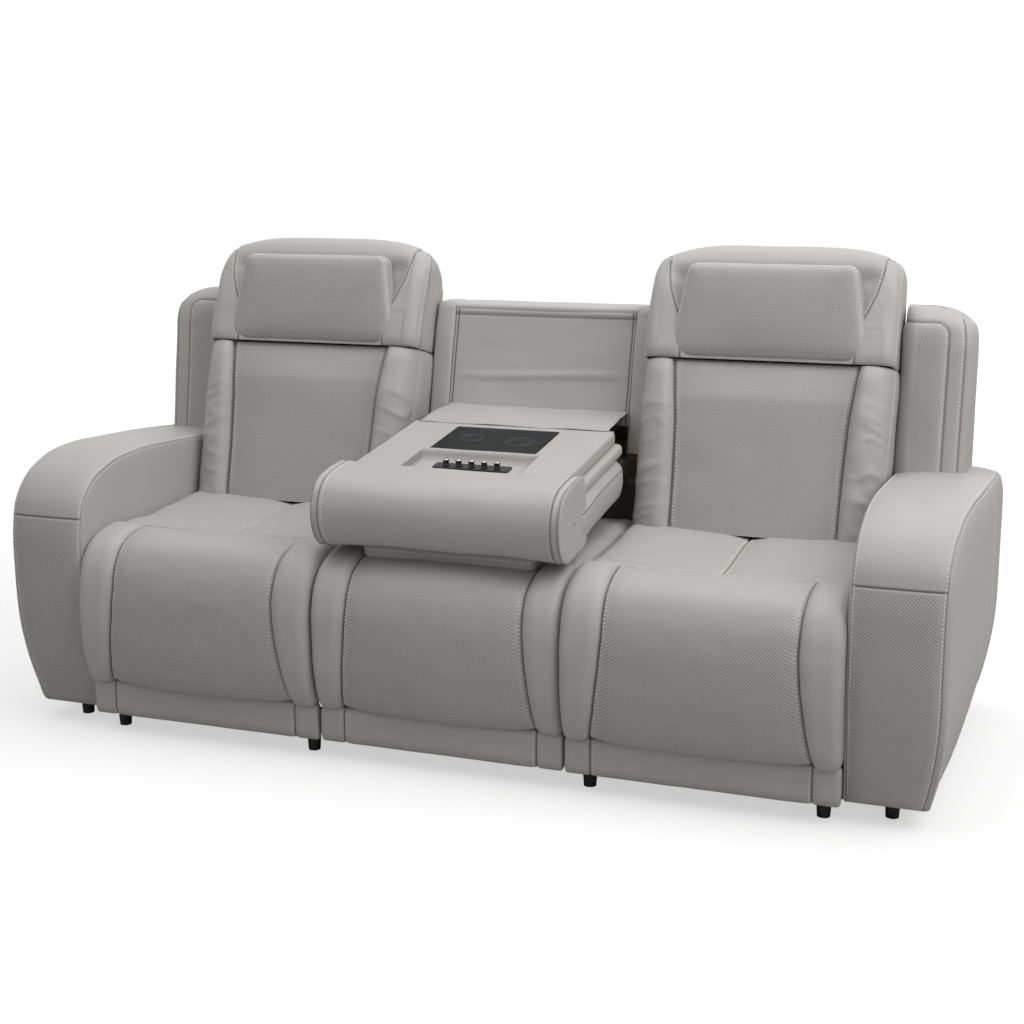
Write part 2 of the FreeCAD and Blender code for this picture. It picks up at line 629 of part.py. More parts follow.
def panel_y(z):
    return PANEL_FOOT[0] + (z - PANEL_FOOT[1]) * math.tan(math.radians(PANEL_LEAN))


POST_FOOT_Z = 560.0
POST_REAR = SIDE_RAIL_REAR


def centre_back_frame():
    pieces = []
    for side in (-1, 1):
        x0, x1 = sorted((side * (PANEL_HALF_W + POST_FIT), side * POST_X1))
        pieces.append(outline(
            [(panel_y(POST_NOTCH_Z), POST_NOTCH_Z), (panel_y(CENTRE_TOP), CENTRE_TOP),
             (POST_REAR, CENTRE_TOP), (POST_REAR, RAIL_TOP), (POST_REAR - 50, RAIL_TOP),
             (POST_REAR - 50, POST_FOOT_Z),
             (panel_y(POST_NOTCH_Z), POST_FOOT_Z)], x0, x1))
    top_y = panel_y(CENTRE_TOP) + PANEL_T
    across = (-PANEL_HALF_W - POST_FIT, PANEL_HALF_W + POST_FIT)
    pieces.append(block(*across, top_y, POST_REAR, CENTRE_TOP - 40, CENTRE_TOP))
    pieces.append(block(*across, POST_REAR - 40, POST_REAR, PANEL_BOTTOM - 40, PANEL_BOTTOM))
    return pieces


def centre_back_panel():
    z0, z1 = PANEL_BOTTOM, CENTRE_TOP - 2
    y0, y1 = panel_y(z0), panel_y(z1)
    return outline([(y0, z0), (y1, z1), (y1 + PANEL_T, z1), (y0 + PANEL_T, z0)],
                   -PANEL_HALF_W, PANEL_HALF_W)


def rear_panels():
    y0, y1 = SIDE_RAIL_REAR, SIDE_RAIL_REAR + 12
    low = block(SEAT_X0 + 2, SEAT_X1 - 2, y0, y1, FOOT_H + 10, SHELL_FOOT_Z - 15)
    middle = block(-POST_X1, POST_X1, y0, y1, FOOT_H + 10, CENTRE_TOP - 4)
    return [low, mirrored(low), middle]


def bridge_flap():
    (y0, z0), (y1, z1) = CONSOLE_REAR, PANEL_FOOT
    return outline([(y0 + 3, z0), (y1, z1), (panel_y(z1 - FLAP_T), z1 - FLAP_T), (y0 + 3, z0 - FLAP_T)],
                   -PANEL_HALF_W + 2, PANEL_HALF_W - 2)


def console_hinge_brackets():
    hy, hz = CONSOLE_HINGE
    front = panel_y(POST_NOTCH_Z)
    pieces = []
    for side in (-1, 1):
        x0, x1 = sorted((side * (DECK_HALF_W + 8), side * (DECK_HALF_W + 8 + PLATE_T)))
        plate = outline([(hy - 15, hz - 15), (hy - 15, hz + 15), (hy + 15, hz + 15),
                         (front, POST_NOTCH_Z - 7), (front, POST_FOOT_Z + 10), (hy + 10, hz - 17)], x0, x1)
        pin = sorted((side * (DECK_HALF_W - 1), side * (DECK_HALF_W + 8)))
        pieces.append(plate.fuse(rod(*pin, CONSOLE_HINGE, PIN_R)))
    return pieces


# Console, in the level drawing frame: y 0 at the rear seam and negative forward, z 0 on the deck

def console_deck():
    deck = block(-DECK_HALF_W, DECK_HALF_W, -DECK_L, 0, -DECK_T, 0)
    def pick(edge):
        box = edge.BoundBox
        return box.ZMin > -1 and (box.YMin > -DECK_L + 1 or box.YLength > 10)
    deck = rounded(deck, 8.0, pick)
    glass_l = TRAY_BACK - 4 - GLASS_BACK
    deck = deck.cut(block(-GLASS_HALF_W, GLASS_HALF_W, -GLASS_BACK - glass_l, -GLASS_BACK, -GLASS_T, 1))
    return deck.cut(block(-TRAY_HALF_W, TRAY_HALF_W, -DECK_L, -TRAY_BACK, -TRAY_DEPTH, 1))


def charging_plate():
    glass_l = TRAY_BACK - 4 - GLASS_BACK
    plate = block(-GLASS_HALF_W, GLASS_HALF_W, -GLASS_BACK - glass_l, -GLASS_BACK, -GLASS_T, 0.6)
    return rounded(plate, 6.0, lambda e: e.BoundBox.ZLength > 2)


def knob_plate():
    z0 = -TRAY_DEPTH
    plate = block(-92, 92, -KNOB_BACK - 19, -KNOB_BACK + 19, z0, z0 + KNOB_PLATE_T)
    return rounded(plate, 6.0, lambda e: e.BoundBox.ZLength > 2)


def knob(x):
    z0 = -TRAY_DEPTH + KNOB_PLATE_T + SLIP
    base = Part.makeCone(KNOB_R, KNOB_R * 0.92, KNOB_H - 3, Vector(x, -KNOB_BACK, z0), Vector(0, 0, 1))
    cap = Part.makeCylinder(KNOB_R, 3, Vector(x, -KNOB_BACK, z0 + KNOB_H - 3), Vector(0, 0, 1))
    return base.fuse(cap)


def console_frame():
    x_out = DECK_HALF_W
    z0, z1 = -DECK_T - BORDER_T, -DECK_T
    py, pz = CONSOLE_PIVOT
    pieces = [block(-x_out, x_out, -DECK_L, -14, z0, z1)]
    for side in (-1, 1):
        a0, a1 = sorted((side * (x_out + 1), side * (x_out + 1 + PLATE_T)))
        arm = outline([(-140, z1 - 1), (-8, z1 - 1), (py + 15, pz + 15), (py + 15, pz - 13),
                       (py - 14, pz - 13), (-19, z0 + 1), (-140, z0 + 1)], a0, a1)
        f0, f1 = sorted((side * x_out, side * (x_out + 1)))
        arm = arm.cut(rod(a0, a1, CONSOLE_PIVOT, PIN_R + PIN_SLIP))
        pieces.append(arm.fuse(block(f0, f1, -130, -20, z0 + 3, z1 - 3)).removeSplitter())
    return pieces


def console_cushion():
    z0, z1 = -CUSHION_DEPTH, -DECK_T - BORDER_T
    solid = block(-CENTRE_X, CENTRE_X, -DECK_L, -26, z0, z1)

    def pick(edge):
        box = edge.BoundBox
        return box.YLength > 50 or (box.YMin > -27 and box.XLength > 50)
    return rounded(solid, 28.0, pick)


def console_bolster():
    y0, y1 = -DECK_L - BOLSTER_L, -DECK_L
    solid = block(-CENTRE_X, CENTRE_X, y0, y1, -CUSHION_DEPTH, BOLSTER_RISE)
    front = rounded(solid, BOLSTER_ROUND, lambda e: along_x(e) and e.BoundBox.YMax < y0 + 1)

    def pick(edge):
        return along_x(edge) and edge.BoundBox.YMin > y1 - 1 and edge.BoundBox.ZMin > 0
    rear_top = rounded(front, 16.0, pick)
    return rounded(rear_top, 14.0, at_x_end(rear_top))


def console_head_pad():
    z1 = -CUSHION_DEPTH
    y0 = -DECK_L - HEAD_PAD_REACH
    pad = block(-HEAD_PAD_HALF_W, HEAD_PAD_HALF_W, y0, y0 + HEAD_PAD_L, z1 - HEAD_PAD_T, z1)
    return rounded(pad, 10.0, lambda e: e.BoundBox.ZLength > 20)


# Assembly

def mirrored(shape):
    return shape.mirror(Vector(0, 0, 0), X_AXIS)


def as_list(made):
    return made if isinstance(made, list) else [made]


SIDE_NODES = {
    "arm_cover": arm_cover,
    "wing": wing,
    "seat_frame": lambda: seat_boards(SEAT_X0 + PLATE_T, SEAT_X1 - PLATE_T),
    "seat_webbing": lambda: seat_straps(SEAT_X0 + 8, SEAT_X1 - 8),
    "seat_cushion": seat_cushion,
    "seat_hardware": seat_hardware,
    "footrest_board": footrest_board,
    "footrest_pad": footrest_pad,
    "footrest_strip": footrest_strip,
    "drive_cranks": drive_cranks,
    "coupler_links": coupler_links,
}
LEANED_NODES = {
    "back_frame": back_frame,
    "back_cushion": back_cushion,
    "back_shell": back_shell,
    "headrest_core": headrest_core,
    "headrest_pillow": headrest_pillow,
    "headrest_rods": headrest_rods,
    "headrest_motor": headrest_motor,
}
CENTRE_NODES = {
    "arm_frames": lambda: arm_frame() + [mirrored(s) for s in arm_frame()],
    "base_frame": base_frame,
    "rear_panels": rear_panels,
    "feet": feet,
    "centre_seat_frame": centre_seat_frame,
    "centre_seat_webbing": lambda: seat_straps(-CENTRE_X + 4, CENTRE_X - 4),
    "centre_seat_cushion": centre_seat_cushion,
    "centre_front_strip": centre_front_strip,
    "centre_back_frame": centre_back_frame,
    "centre_back_panel": centre_back_panel,
    "console_bridge_flap": bridge_flap,
    "console_hinge_brackets": console_hinge_brackets,
}
CONSOLE_NODES = {
    "console_frame": console_frame,
    "console_deck": console_deck,
    "console_cushion": console_cushion,
    "console_bolster": console_bolster,
    "console_head_pad": console_head_pad,
    "charging_plate": charging_plate,
    "knob_plate": knob_plate,
}


def place(solids):
    """Centres the sofa on its depth, so that the origin is under its middle."""
    shift = Vector(0, (PAD_REACH - ARM_DEPTH) / 2, 0)
    moved = []
    for solid in solids:
        copy = solid.copy()
        copy.translate(shift)
        moved.append(copy)
    return moved


def export(name, solids):
    solids = [s for made in solids for s in made.Solids]
    bad = [s for s in solids if not s.isValid() or s.Volume <= 0]
    if bad:
        print("CHECK", name, "has", len(bad), "bad solids")
    shape = solids[0] if len(solids) == 1 else group(solids)
    shape.exportStep(os.path.join("parts", name + ".step"))


def build():
    nodes = {}
    for name, make in SIDE_NODES.items():
        solids = as_list(make())
        nodes["right_" + name] = solids
        nodes["left_" + name] = [mirrored(s) for s in solids]
    for name, make in LEANED_NODES.items():
        solids = [lean_back(s) for s in as_list(make())]
        nodes["right_" + name] = solids
        nodes["left_" + name] = [mirrored(s) for s in solids]
    for name, make in CENTRE_NODES.items():
        nodes[name] = as_list(make())
    for name, make in CONSOLE_NODES.items():
        nodes[name] = [lay_console(s) for s in as_list(make())]
    for i in range(KNOB_COUNT):
        x = (i - (KNOB_COUNT - 1) / 2) * KNOB_PITCH
        nodes[f"knob_{i + 1}"] = [lay_console(knob(x))]
    return {name: place(solids) for name, solids in nodes.items()}


if __name__ == "__main__":
    os.makedirs("parts", exist_ok=True)
    for node, made in build().items():
        export(node, made)
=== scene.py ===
"""Leather reclining sofa with a fold-down console: skins, seams, stitching and stage round its frame.

Lengths are metres. Every y in this file is measured back from the front of the arms, as an
upholsterer would, and DEPTH carries it into the frame when a mesh is made. The right half is
drawn and its mirror image makes the left half.
"""
import json
import math

import bmesh
import bpy
import numpy as np
from bpy.props import FloatProperty, FloatVectorProperty, IntProperty, PointerProperty
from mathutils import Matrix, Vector


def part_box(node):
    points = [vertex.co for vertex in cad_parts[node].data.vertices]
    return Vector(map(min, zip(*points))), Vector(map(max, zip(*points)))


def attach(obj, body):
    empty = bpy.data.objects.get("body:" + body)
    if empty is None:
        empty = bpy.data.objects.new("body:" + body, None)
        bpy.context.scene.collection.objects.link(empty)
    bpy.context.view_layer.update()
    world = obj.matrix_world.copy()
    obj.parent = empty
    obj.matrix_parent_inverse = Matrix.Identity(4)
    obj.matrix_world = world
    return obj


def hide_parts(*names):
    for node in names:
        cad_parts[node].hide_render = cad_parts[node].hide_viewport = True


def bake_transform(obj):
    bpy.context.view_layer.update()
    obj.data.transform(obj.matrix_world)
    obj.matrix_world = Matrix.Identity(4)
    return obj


bl_info = {
    "name": "Reclining sofa with fold-down console",
    "version": (1, 0, 0),
    "blender": (4, 5, 0),
    "location": "View3D > Sidebar > Sofa",
    "description": "Upholsters the sofa, its console and its plain stage round the fixed frame",
    "category": "Object",
}

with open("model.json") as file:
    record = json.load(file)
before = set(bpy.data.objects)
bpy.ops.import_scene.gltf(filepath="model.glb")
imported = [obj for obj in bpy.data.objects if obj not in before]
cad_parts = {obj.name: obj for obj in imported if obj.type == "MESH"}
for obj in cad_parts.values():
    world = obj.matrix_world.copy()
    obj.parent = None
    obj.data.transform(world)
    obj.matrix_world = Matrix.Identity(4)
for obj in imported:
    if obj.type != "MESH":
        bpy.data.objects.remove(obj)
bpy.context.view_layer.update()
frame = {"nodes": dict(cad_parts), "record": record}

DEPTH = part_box("right_arm_cover")[0].y
SIDES = {"right": 1, "left": -1}
ARM_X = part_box("right_arm_cover")[0].x
FOOT_Z = 0.0465
SEAT_MID = 0.5915
SEAT_HALF = 0.2975
CENTRE_HALF = 0.291
BACK_FOOT = (0.500, 0.507)
BACK_LEAN = math.radians(15)
CONSOLE_REAR = (0.511, 0.714)
CONSOLE_SLOPE = math.radians(7)
PANEL_FOOT = (0.695, 0.732)
PANEL_RUN = math.tan(math.radians(14.1))


# Lines, noise and small shape helpers

class Line:
    """A smooth line through a few points, looked up by the distance along it."""

    def __init__(self, *points):
        p = np.array(points, float)
        t = np.r_[0, np.cumsum(np.linalg.norm(np.diff(p, axis=0), axis=1))]
        slope = np.gradient(p, t, axis=0)
        fine = np.linspace(0, t[-1], 60 * len(p))
        i = np.clip(np.searchsorted(t, fine, side="right") - 1, 0, len(t) - 2)
        gap = (t[i + 1] - t[i])[:, None]
        s = (fine - t[i])[:, None] / gap
        self.points = ((2 * s**3 - 3 * s**2 + 1) * p[i] + (s**3 - 2 * s**2 + s) * gap * slope[i]
                       + (3 * s**2 - 2 * s**3) * p[i + 1] + (s**3 - s**2) * gap * slope[i + 1])
        self.run = np.r_[0, np.cumsum(np.linalg.norm(np.diff(self.points, axis=0), axis=1))]
        self.length = self.run[-1]

    def at(self, run):
        return [np.interp(run, self.run, self.points[:, k]) for k in range(self.points.shape[1])]

    def near(self, *point):
        """The run at which the line comes nearest to a point."""
        return self.run[np.linalg.norm(self.points - np.array(point), axis=1).argmin()]


def spread(start, end, step, fine=(), fine_step=0.0014, reach=0.007):
    """Values from start to end about a step apart, and closer beside the fine ones."""
    values = list(np.linspace(start, end, max(2, round(abs(end - start) / step) + 1)))
    for f in fine:
        values = [x for x in values if abs(x - f) > reach or x in (start, end)]
        values += list(f + np.arange(-round(reach / fine_step), round(reach / fine_step) + 1) * fine_step)
    low, high = min(start, end), max(start, end)
    values = np.unique(np.round([x for x in values if low <= x <= high], 6))
    return values[np.r_[True, np.diff(values) > fine_step * 0.4]]


def across(u, stops, places):
    """Maps u so that each stop lands on its place, which may vary along the skin."""
    inside = sum(np.interp(u, stops, np.eye(len(stops))[k]) * place for k, place in enumerate(places))
    return inside + 0.02 * (u - np.clip(u, stops[0], stops[-1]))


def ease(t):
    t = np.clip(t, 0, 1)
    return t * t * (3 - 2 * t)


def rise(t, power=2):
    """From 0 to 1 as t goes from 0 to 1, steep at first and level at the end."""
    return 1 - (1 - np.clip(t, 0, 1)) ** power


def mix(a, b, t):
    return a + (b - a) * t


def ripple(u, v, size, seed):
    """Smooth noise from -1 to 1 whose waves are about size long, as (along u, along v)."""
    table = np.random.default_rng(seed).uniform(-1, 1, (64, 64))
    a, b = np.broadcast_arrays(np.asarray(u) / size[0] + 31.4, np.asarray(v) / size[1] + 17.2)
    i, j = np.floor(a).astype(int), np.floor(b).astype(int)
    fa, fb = ease(a - i), ease(b - j)
    def corner(di, dj):
        return table[(i + di) % 64, (j + dj) % 64]
    return mix(mix(corner(0, 0), corner(1, 0), fa), mix(corner(0, 1), corner(1, 1), fa), fb)


def creases(u, v, size, seed):
    """Narrow folds between 0 and 1 in a field of noise."""
    return np.clip(1 - 3.2 * np.abs(ripple(u, v, size, seed)), 0, 1) ** 1.5


def puff(t, a, b, height, edge=0.03):
    """Padding between two seams: steep beside each seam, then level."""
    return height * rise(np.minimum(t - a, b - t) / edge, 2.4)


def bell(distance, width):
    """1 on a line and falling to 0 on both sides of it."""
    return np.exp(-(distance / width) ** 2)


def groove(distance, depth=0.0045, width=0.0028):
    return -depth * bell(distance, width)


def back_point(x, y, z):
    """From a reclining back's own upright drawing, about the seat's middle, to the leaned back."""
    c, s = math.cos(BACK_LEAN), math.sin(BACK_LEAN)
    return SEAT_MID + x, BACK_FOOT[0] + y * c + z * s, BACK_FOOT[1] - y * s + z * c


def console_point(x, y, z):
    """From the console's own level drawing, with its rear seam at y 0, to the lowered console."""
    c, s = math.cos(CONSOLE_SLOPE), math.sin(CONSOLE_SLOPE)
    return x, CONSOLE_REAR[0] + y * c - z * s, CONSOLE_REAR[1] + y * s + z * c


def panel_y(z):
    return PANEL_FOOT[0] + (z - PANEL_FOOT[1]) * PANEL_RUN


def ring_at(u, half_x, half_y, corner):
    """A rounded rectangle. u counts sides and corners: 0 to 1 is the front from low to high x,
    1 to 2 its corner, 2 to 3 the high-x side, and so on round to 8."""
    corner = np.minimum(np.minimum(corner, half_x), half_y)
    part, f = np.floor(u) % 8, u - np.floor(u)
    sx, sy = half_x - corner, half_y - corner
    s, c = corner * np.sin(f * math.pi / 2), corner * np.cos(f * math.pi / 2)
    x = [mix(-sx, sx, f), sx + s, half_x + 0 * f, sx + c]
    y = [-half_y + 0 * f, -sy - c, mix(-sy, sy, f), sy + s]
    parts = [part == k for k in range(8)]
    return np.select(parts, x + [-a for a in x]), np.select(parts, y + [-a for a in y])


def ring_stops(front, side, corner, rear=None, fine=()):
    """Values of u round a ring, from the number of steps on each kind of stretch."""
    counts = (front, corner, side, corner, rear or front, corner, side, corner)
    values = [k + i / n for k, n in enumerate(counts) for i in range(n)] + [8.0]
    for f in fine:
        values = [x for x in values if abs(x - f) > 0.02] + [f + k * 0.006 for k in range(-2, 3)]
    return np.array(sorted(values))


def with_edges(u, half, near):
    """Adds values a little inside both side edges, where a cushion turns in."""
    near = half - np.array(near)
    return np.unique(np.round(np.r_[u, near, -near], 6))


def unit(vectors):
    return vectors / np.maximum(np.linalg.norm(vectors, axis=-1, keepdims=True), 1e-12)


def ring_faces(rings, steps, closed=False):
    """Quads between neighbouring rings of points; closed joins the last ring to the first."""
    pairs = [(i * steps, (i + 1) % rings * steps) for i in range(rings if closed else rings - 1)]
    return [[i + k, i + (k + 1) % steps, j + (k + 1) % steps, j + k] for i, j in pairs for k in range(steps)]


class Skin:
    """Leather over a grid. u runs across, v along; base gives points and lift raises them."""

    def __init__(self, u, v, base, lift=None, flip=False, ring=False, chart=None):
        self.u, self.v, self.ring = np.array(u, float), np.array(v, float), ring
        self.turn = -1.0 if flip else 1.0
        uu, vv = np.meshgrid(self.u, self.v)
        self.uu, self.vv = uu, vv
        self.p = np.stack(np.broadcast_arrays(*base(uu, vv)), -1).astype(float)
        self.measure()
        if lift is not None:
            self.p = self.p + self.n * lift(uu, vv)[..., None]
            self.measure()
        self.chart = chart(uu, vv) if chart else self.unroll()
        self.hole_share = np.zeros_like(uu)
        self.shade = np.zeros_like(uu)

    def measure(self):
        if self.ring:
            wide = np.concatenate([self.p[:, -2:-1], self.p, self.p[:, 1:2]], 1)
            along_u = (wide[:, 2:] - wide[:, :-2]) / 2
        else:
            along_u = np.gradient(self.p, axis=1)
        self.n = unit(np.cross(along_u, np.gradient(self.p, axis=0)) * self.turn)

    def unroll(self):
        """Surface lengths in metres along u and v, for the punched pattern."""
        s = np.linalg.norm(np.diff(self.p, axis=1), axis=-1)
        t = np.linalg.norm(np.diff(self.p, axis=0), axis=-1)
        s = np.concatenate([np.zeros_like(s[:, :1]), np.cumsum(s, 1)], 1)
        t = np.concatenate([np.zeros_like(t[:1]), np.cumsum(t, 0)], 0)
        return s - s[:, s.shape[1] // 2][:, None], t

    def look(self, grid, u, v):
        i = np.interp(u, self.u, np.arange(len(self.u)))
        j = np.interp(v, self.v, np.arange(len(self.v)))
        i0, j0 = np.minimum(i.astype(int), len(self.u) - 2), np.minimum(j.astype(int), len(self.v) - 2)
        a, b = (i - i0)[:, None], (j - j0)[:, None]
        return mix(mix(grid[j0, i0], grid[j0, i0 + 1], a), mix(grid[j0 + 1, i0], grid[j0 + 1, i0 + 1], a), b)

    def spot(self, u, v):
        """Points and outward directions at places on the finished skin."""
        u, v = np.broadcast_arrays(np.asarray(u, float), np.asarray(v, float))
        return self.look(self.p, u, v), unit(self.look(self.n, u, v))

    def paint_shade(self, distance, strength=0.85, width=0.0016, where=1):
        """Paints shade onto the hide beside a line, from every point's distance to it: a darker colour that
        stands for the shadow in seams, stitch rows, edges and gaps.
        """
        self.shade = np.maximum(self.shade, where * strength * bell(distance, width))


def new_object(name, verts, faces, materials, side=1):
    """A smooth mesh in the frame's place; side -1 makes the mirror image."""
    verts = np.array(verts, float) * (side, 1, 1) + (0, DEPTH, 0)
    if side < 0:
        faces = [f[::-1] for f in faces]
    mesh = bpy.data.meshes.new(name)
    mesh.from_pydata(verts.tolist(), [], faces)
    mesh.polygons.foreach_set("use_smooth", [True] * len(mesh.polygons))
    made = bpy.data.objects.new(name, mesh)
    bpy.context.scene.collection.objects.link(made)
    for material in materials:
        mesh.materials.append(bpy.data.materials[material])
    return made


WELD = 2e-5


def skin_object(name, skins, side=1, materials=("plain hide", "punched hide")):
    """One mesh from skins, with surface lengths as its UV map and holes and shade as attributes."""
    verts, faces, chart, holes, shade, first = [], [], [], [], [], 0
    for skin in skins:
        rows, columns = skin.uu.shape
        index = np.arange(rows * columns).reshape(rows, columns) + first
        quads = np.stack([index[:-1, :-1], index[:-1, 1:], index[1:, 1:], index[1:, :-1]], -1).reshape(-1, 4)
        faces += (quads if skin.turn > 0 else quads[:, ::-1]).tolist()
        verts.append(skin.p.reshape(-1, 3))
        chart.append(np.stack(skin.chart, -1).reshape(-1, 2))
        holes.append(skin.hole_share.ravel())
        shade.append(skin.shade.ravel())
        first += rows * columns
    made = new_object(name, np.concatenate(verts), faces, materials, side)
    mesh, chart, holes = made.data, np.concatenate(chart), np.concatenate(holes)
    corners = np.zeros(len(mesh.loops), np.int32)
    mesh.loops.foreach_get("vertex_index", corners)
    mesh.uv_layers.new(name="Surface").data.foreach_set("uv", chart[corners].astype(np.float32).ravel())
    for label, values in (("holes", holes), ("shade", np.concatenate(shade))):
        mesh.attributes.new(label, "FLOAT", "POINT").data.foreach_set("value", values.astype(np.float32))
    if len(materials) > 1:
        sizes = np.zeros(len(mesh.polygons), np.int32)
        mesh.polygons.foreach_get("loop_total", sizes)
        punched = np.add.reduceat(holes[corners], np.r_[0, np.cumsum(sizes)[:-1]]) / sizes > 0.02
        mesh.polygons.foreach_set("material_index", punched.astype(np.int32))
    welded = bmesh.new()
    welded.from_mesh(mesh)
    bmesh.ops.remove_doubles(welded, verts=welded.verts, dist=WELD)
    welded.to_mesh(mesh)
    welded.free()
    return made


# Stitches: short sunk capsules in rows

STITCH_RINGS = ((-0.5, 0.30), (-0.34, 0.92), (0.0, 1.0), (0.34, 0.92), (0.5, 0.30))
STITCH_ROUND = 6


def stitch_row(skin, u, v):
    """Centres, directions and outward normals of the stitches along a path on a skin."""
    sizes = bpy.context.scene.sofa_sizes
    t = np.linspace(0, 1, 400)
    p, n = skin.spot(*(np.interp(t, np.linspace(0, 1, np.size(w)), np.atleast_1d(w)) for w in (u, v)))
    run = np.r_[0, np.cumsum(np.linalg.norm(np.diff(p, axis=0), axis=1))]
    count = max(1, int(run[-1] / sizes.stitch_pitch))
    at = (np.arange(count) + 0.5) * run[-1] / count
    half = sizes.stitch_length / 2
    def look(values, where):
        return np.stack([np.interp(where, run, values[:, k]) for k in range(3)], -1)
    return look(p, at), look(p, at + half) - look(p, at - half), look(n, at)


def both_rows(skin, u, v):
    """The same row of stitches left and right of a skin's middle."""
    return [stitch_row(skin, sign * u, v) for sign in (-1, 1)]


def stitches(name, rows, body, side=1):
    """All the rows of one piece as one mesh. Without a body it is left unattached here, for the caller."""
    sizes = bpy.context.scene.sofa_sizes
    middle, along, out = (np.concatenate(part) for part in zip(*rows))
    along = unit(along)
    cross = unit(np.cross(out, along))
    out = np.cross(along, cross)
    r, length = sizes.thread_radius, sizes.stitch_length
    verts = []
    for t, wide in STITCH_RINGS:
        sink = -r * 0.75 * (abs(t) * 2) ** 3
        for turn in np.arange(STITCH_ROUND) * 2 * math.pi / STITCH_ROUND:
            verts.append(middle + along * t * length + cross * r * wide * math.cos(turn)
                         + out * (r * wide * math.sin(turn) + sink + r * 0.15))
    verts = np.stack(verts, 1)
    count, per = verts.shape[:2]
    ends = [list(range(STITCH_ROUND))[::-1], list(range(per - STITCH_ROUND, per))]
    local = ring_faces(len(STITCH_RINGS), STITCH_ROUND) + ends
    faces = [[i + s * per for i in face] for s in range(count) for face in local]
    made = new_object(name, verts.reshape(-1, 3), faces, ("sewing thread",), side)
    if body:
        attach(made, body)
    return made


# Materials

FLOAT, VECTOR = "NodeSocketFloat", "NodeSocketVector"


def node(tree, kind, inputs=(), **settings):
    made = tree.nodes.new(kind)
    for key, value in settings.items():
        setattr(made, key, value)
    for key, value in dict(inputs).items():
        if isinstance(value, bpy.types.NodeSocket):
            tree.links.new(value, made.inputs[key])
        else:
            made.inputs[key].default_value = value
    return made


def maths(tree, operation, a, b):
    return node(tree, "ShaderNodeMath", {0: a, 1: b}, operation=operation).outputs[0]


def vector_maths(tree, operation, a, b=None):
    second = {} if b is None else {"Scale" if operation == "SCALE" else 1: b}
    made = node(tree, "ShaderNodeVectorMath", {0: a, **second}, operation=operation)
    return made.outputs["Value" if operation == "LENGTH" else "Vector"]


def noise(tree, place, scale, detail):
    made = node(tree, "ShaderNodeTexNoise", {"Vector": place, "Scale": scale, "Detail": detail})
    return made.outputs["Fac"]


def new_group(name, inputs, outputs):
    tree = bpy.data.node_groups.new(name, "ShaderNodeTree")
    for label, kind, value in inputs:
        socket = tree.interface.new_socket(label, in_out="INPUT", socket_type=kind)
        if value is not None:
            socket.default_value = value
    for label in outputs:
        tree.interface.new_socket(label, in_out="OUTPUT", socket_type=FLOAT)
    return tree, tree.nodes.new("NodeGroupInput").outputs, tree.nodes.new("NodeGroupOutput").inputs


def build_grain():
    """Fine pebbled grain and slow cloudiness of a soft finished hide."""
    tree, given, out = new_group(
        "Hide grain", [("Vector", VECTOR, None), ("Pebble Size", FLOAT, 0.0016),
                       ("Cloudiness", FLOAT, 0.05)], ["Height", "Tone"])
    scale = maths(tree, "DIVIDE", 1.0, given["Pebble Size"])
    cells = node(tree, "ShaderNodeTexVoronoi", {"Vector": given["Vector"], "Scale": scale,
                                                "Smoothness": 0.6}, feature="SMOOTH_F1")
    height = maths(tree, "ADD", cells.outputs["Distance"], noise(tree, given["Vector"], 260.0, 4.0))
    centred = maths(tree, "SUBTRACT", noise(tree, given["Vector"], 5.0, 3.0), 0.5)
    tree.links.new(height, out["Height"])
    tree.links.new(maths(tree, "MULTIPLY", centred, given["Cloudiness"]), out["Tone"])


def build_holes():
    """A diamond lattice of punched holes, from surface lengths in metres."""
    tree, given, out = new_group(
        "Punched holes", [("Vector", VECTOR, None), ("Pitch", FLOAT, 0.0056), ("Radius", FLOAT, 0.3),
                          ("Share", FLOAT, 1.0)], ["Holes", "Height"])
    turned = node(tree, "ShaderNodeVectorRotate", {"Vector": given["Vector"], "Angle": math.pi / 4},
                  rotation_type="Z_AXIS")
    cells = vector_maths(tree, "SCALE", turned.outputs[0], maths(tree, "DIVIDE", 1.0, given["Pitch"]))
    centred = vector_maths(tree, "SUBTRACT", vector_maths(tree, "FRACTION", cells), (0.5, 0.5, 0.0))
    far = vector_maths(tree, "LENGTH", vector_maths(tree, "MULTIPLY", centred, (1, 1, 0)))
    rim = maths(tree, "MULTIPLY", given["Radius"], 1.55)
    hole = node(tree, "ShaderNodeMapRange", {"Value": far, "From Min": given["Radius"], "From Max": rim,
                                             "To Min": 1.0, "To Max": 0.0}, interpolation_type="SMOOTHSTEP")
    holes = maths(tree, "MULTIPLY", hole.outputs[0], given["Share"])
    tree.links.new(holes, out["Holes"])
    tree.links.new(maths(tree, "MULTIPLY", holes, -1.0), out["Height"])


def use_group(tree, name, inputs):
    return node(tree, "ShaderNodeGroup", inputs, node_tree=bpy.data.node_groups[name]).outputs


def new_material(name, colour, roughness, **sockets):
    made = bpy.data.materials.new(name)
    made.use_nodes = True
    shader = made.node_tree.nodes["Principled BSDF"]
    shader.inputs["Base Color"].default_value = (*colour, 1)
    shader.inputs["Roughness"].default_value = roughness
    for key, value in sockets.items():
        shader.inputs[key.replace("_", " ")].default_value = value
    return made.node_tree, shader


def tinted(tree, base, tone):
    """base colour made lighter or darker by a small tone."""
    return vector_maths(tree, "SCALE", base, maths(tree, "ADD", tone, 1.0))


def mix_in_shade(tree, share, colour, shade_colour):
    """A colour that turns into a darker colour by a share from 0 to 1: painted shade in seams, edges and
    gaps, and in the punched holes.
    """
    return node(tree, "ShaderNodeMix", {0: share, 6: colour, 7: (*shade_colour, 1)}, data_type="RGBA").outputs[2]


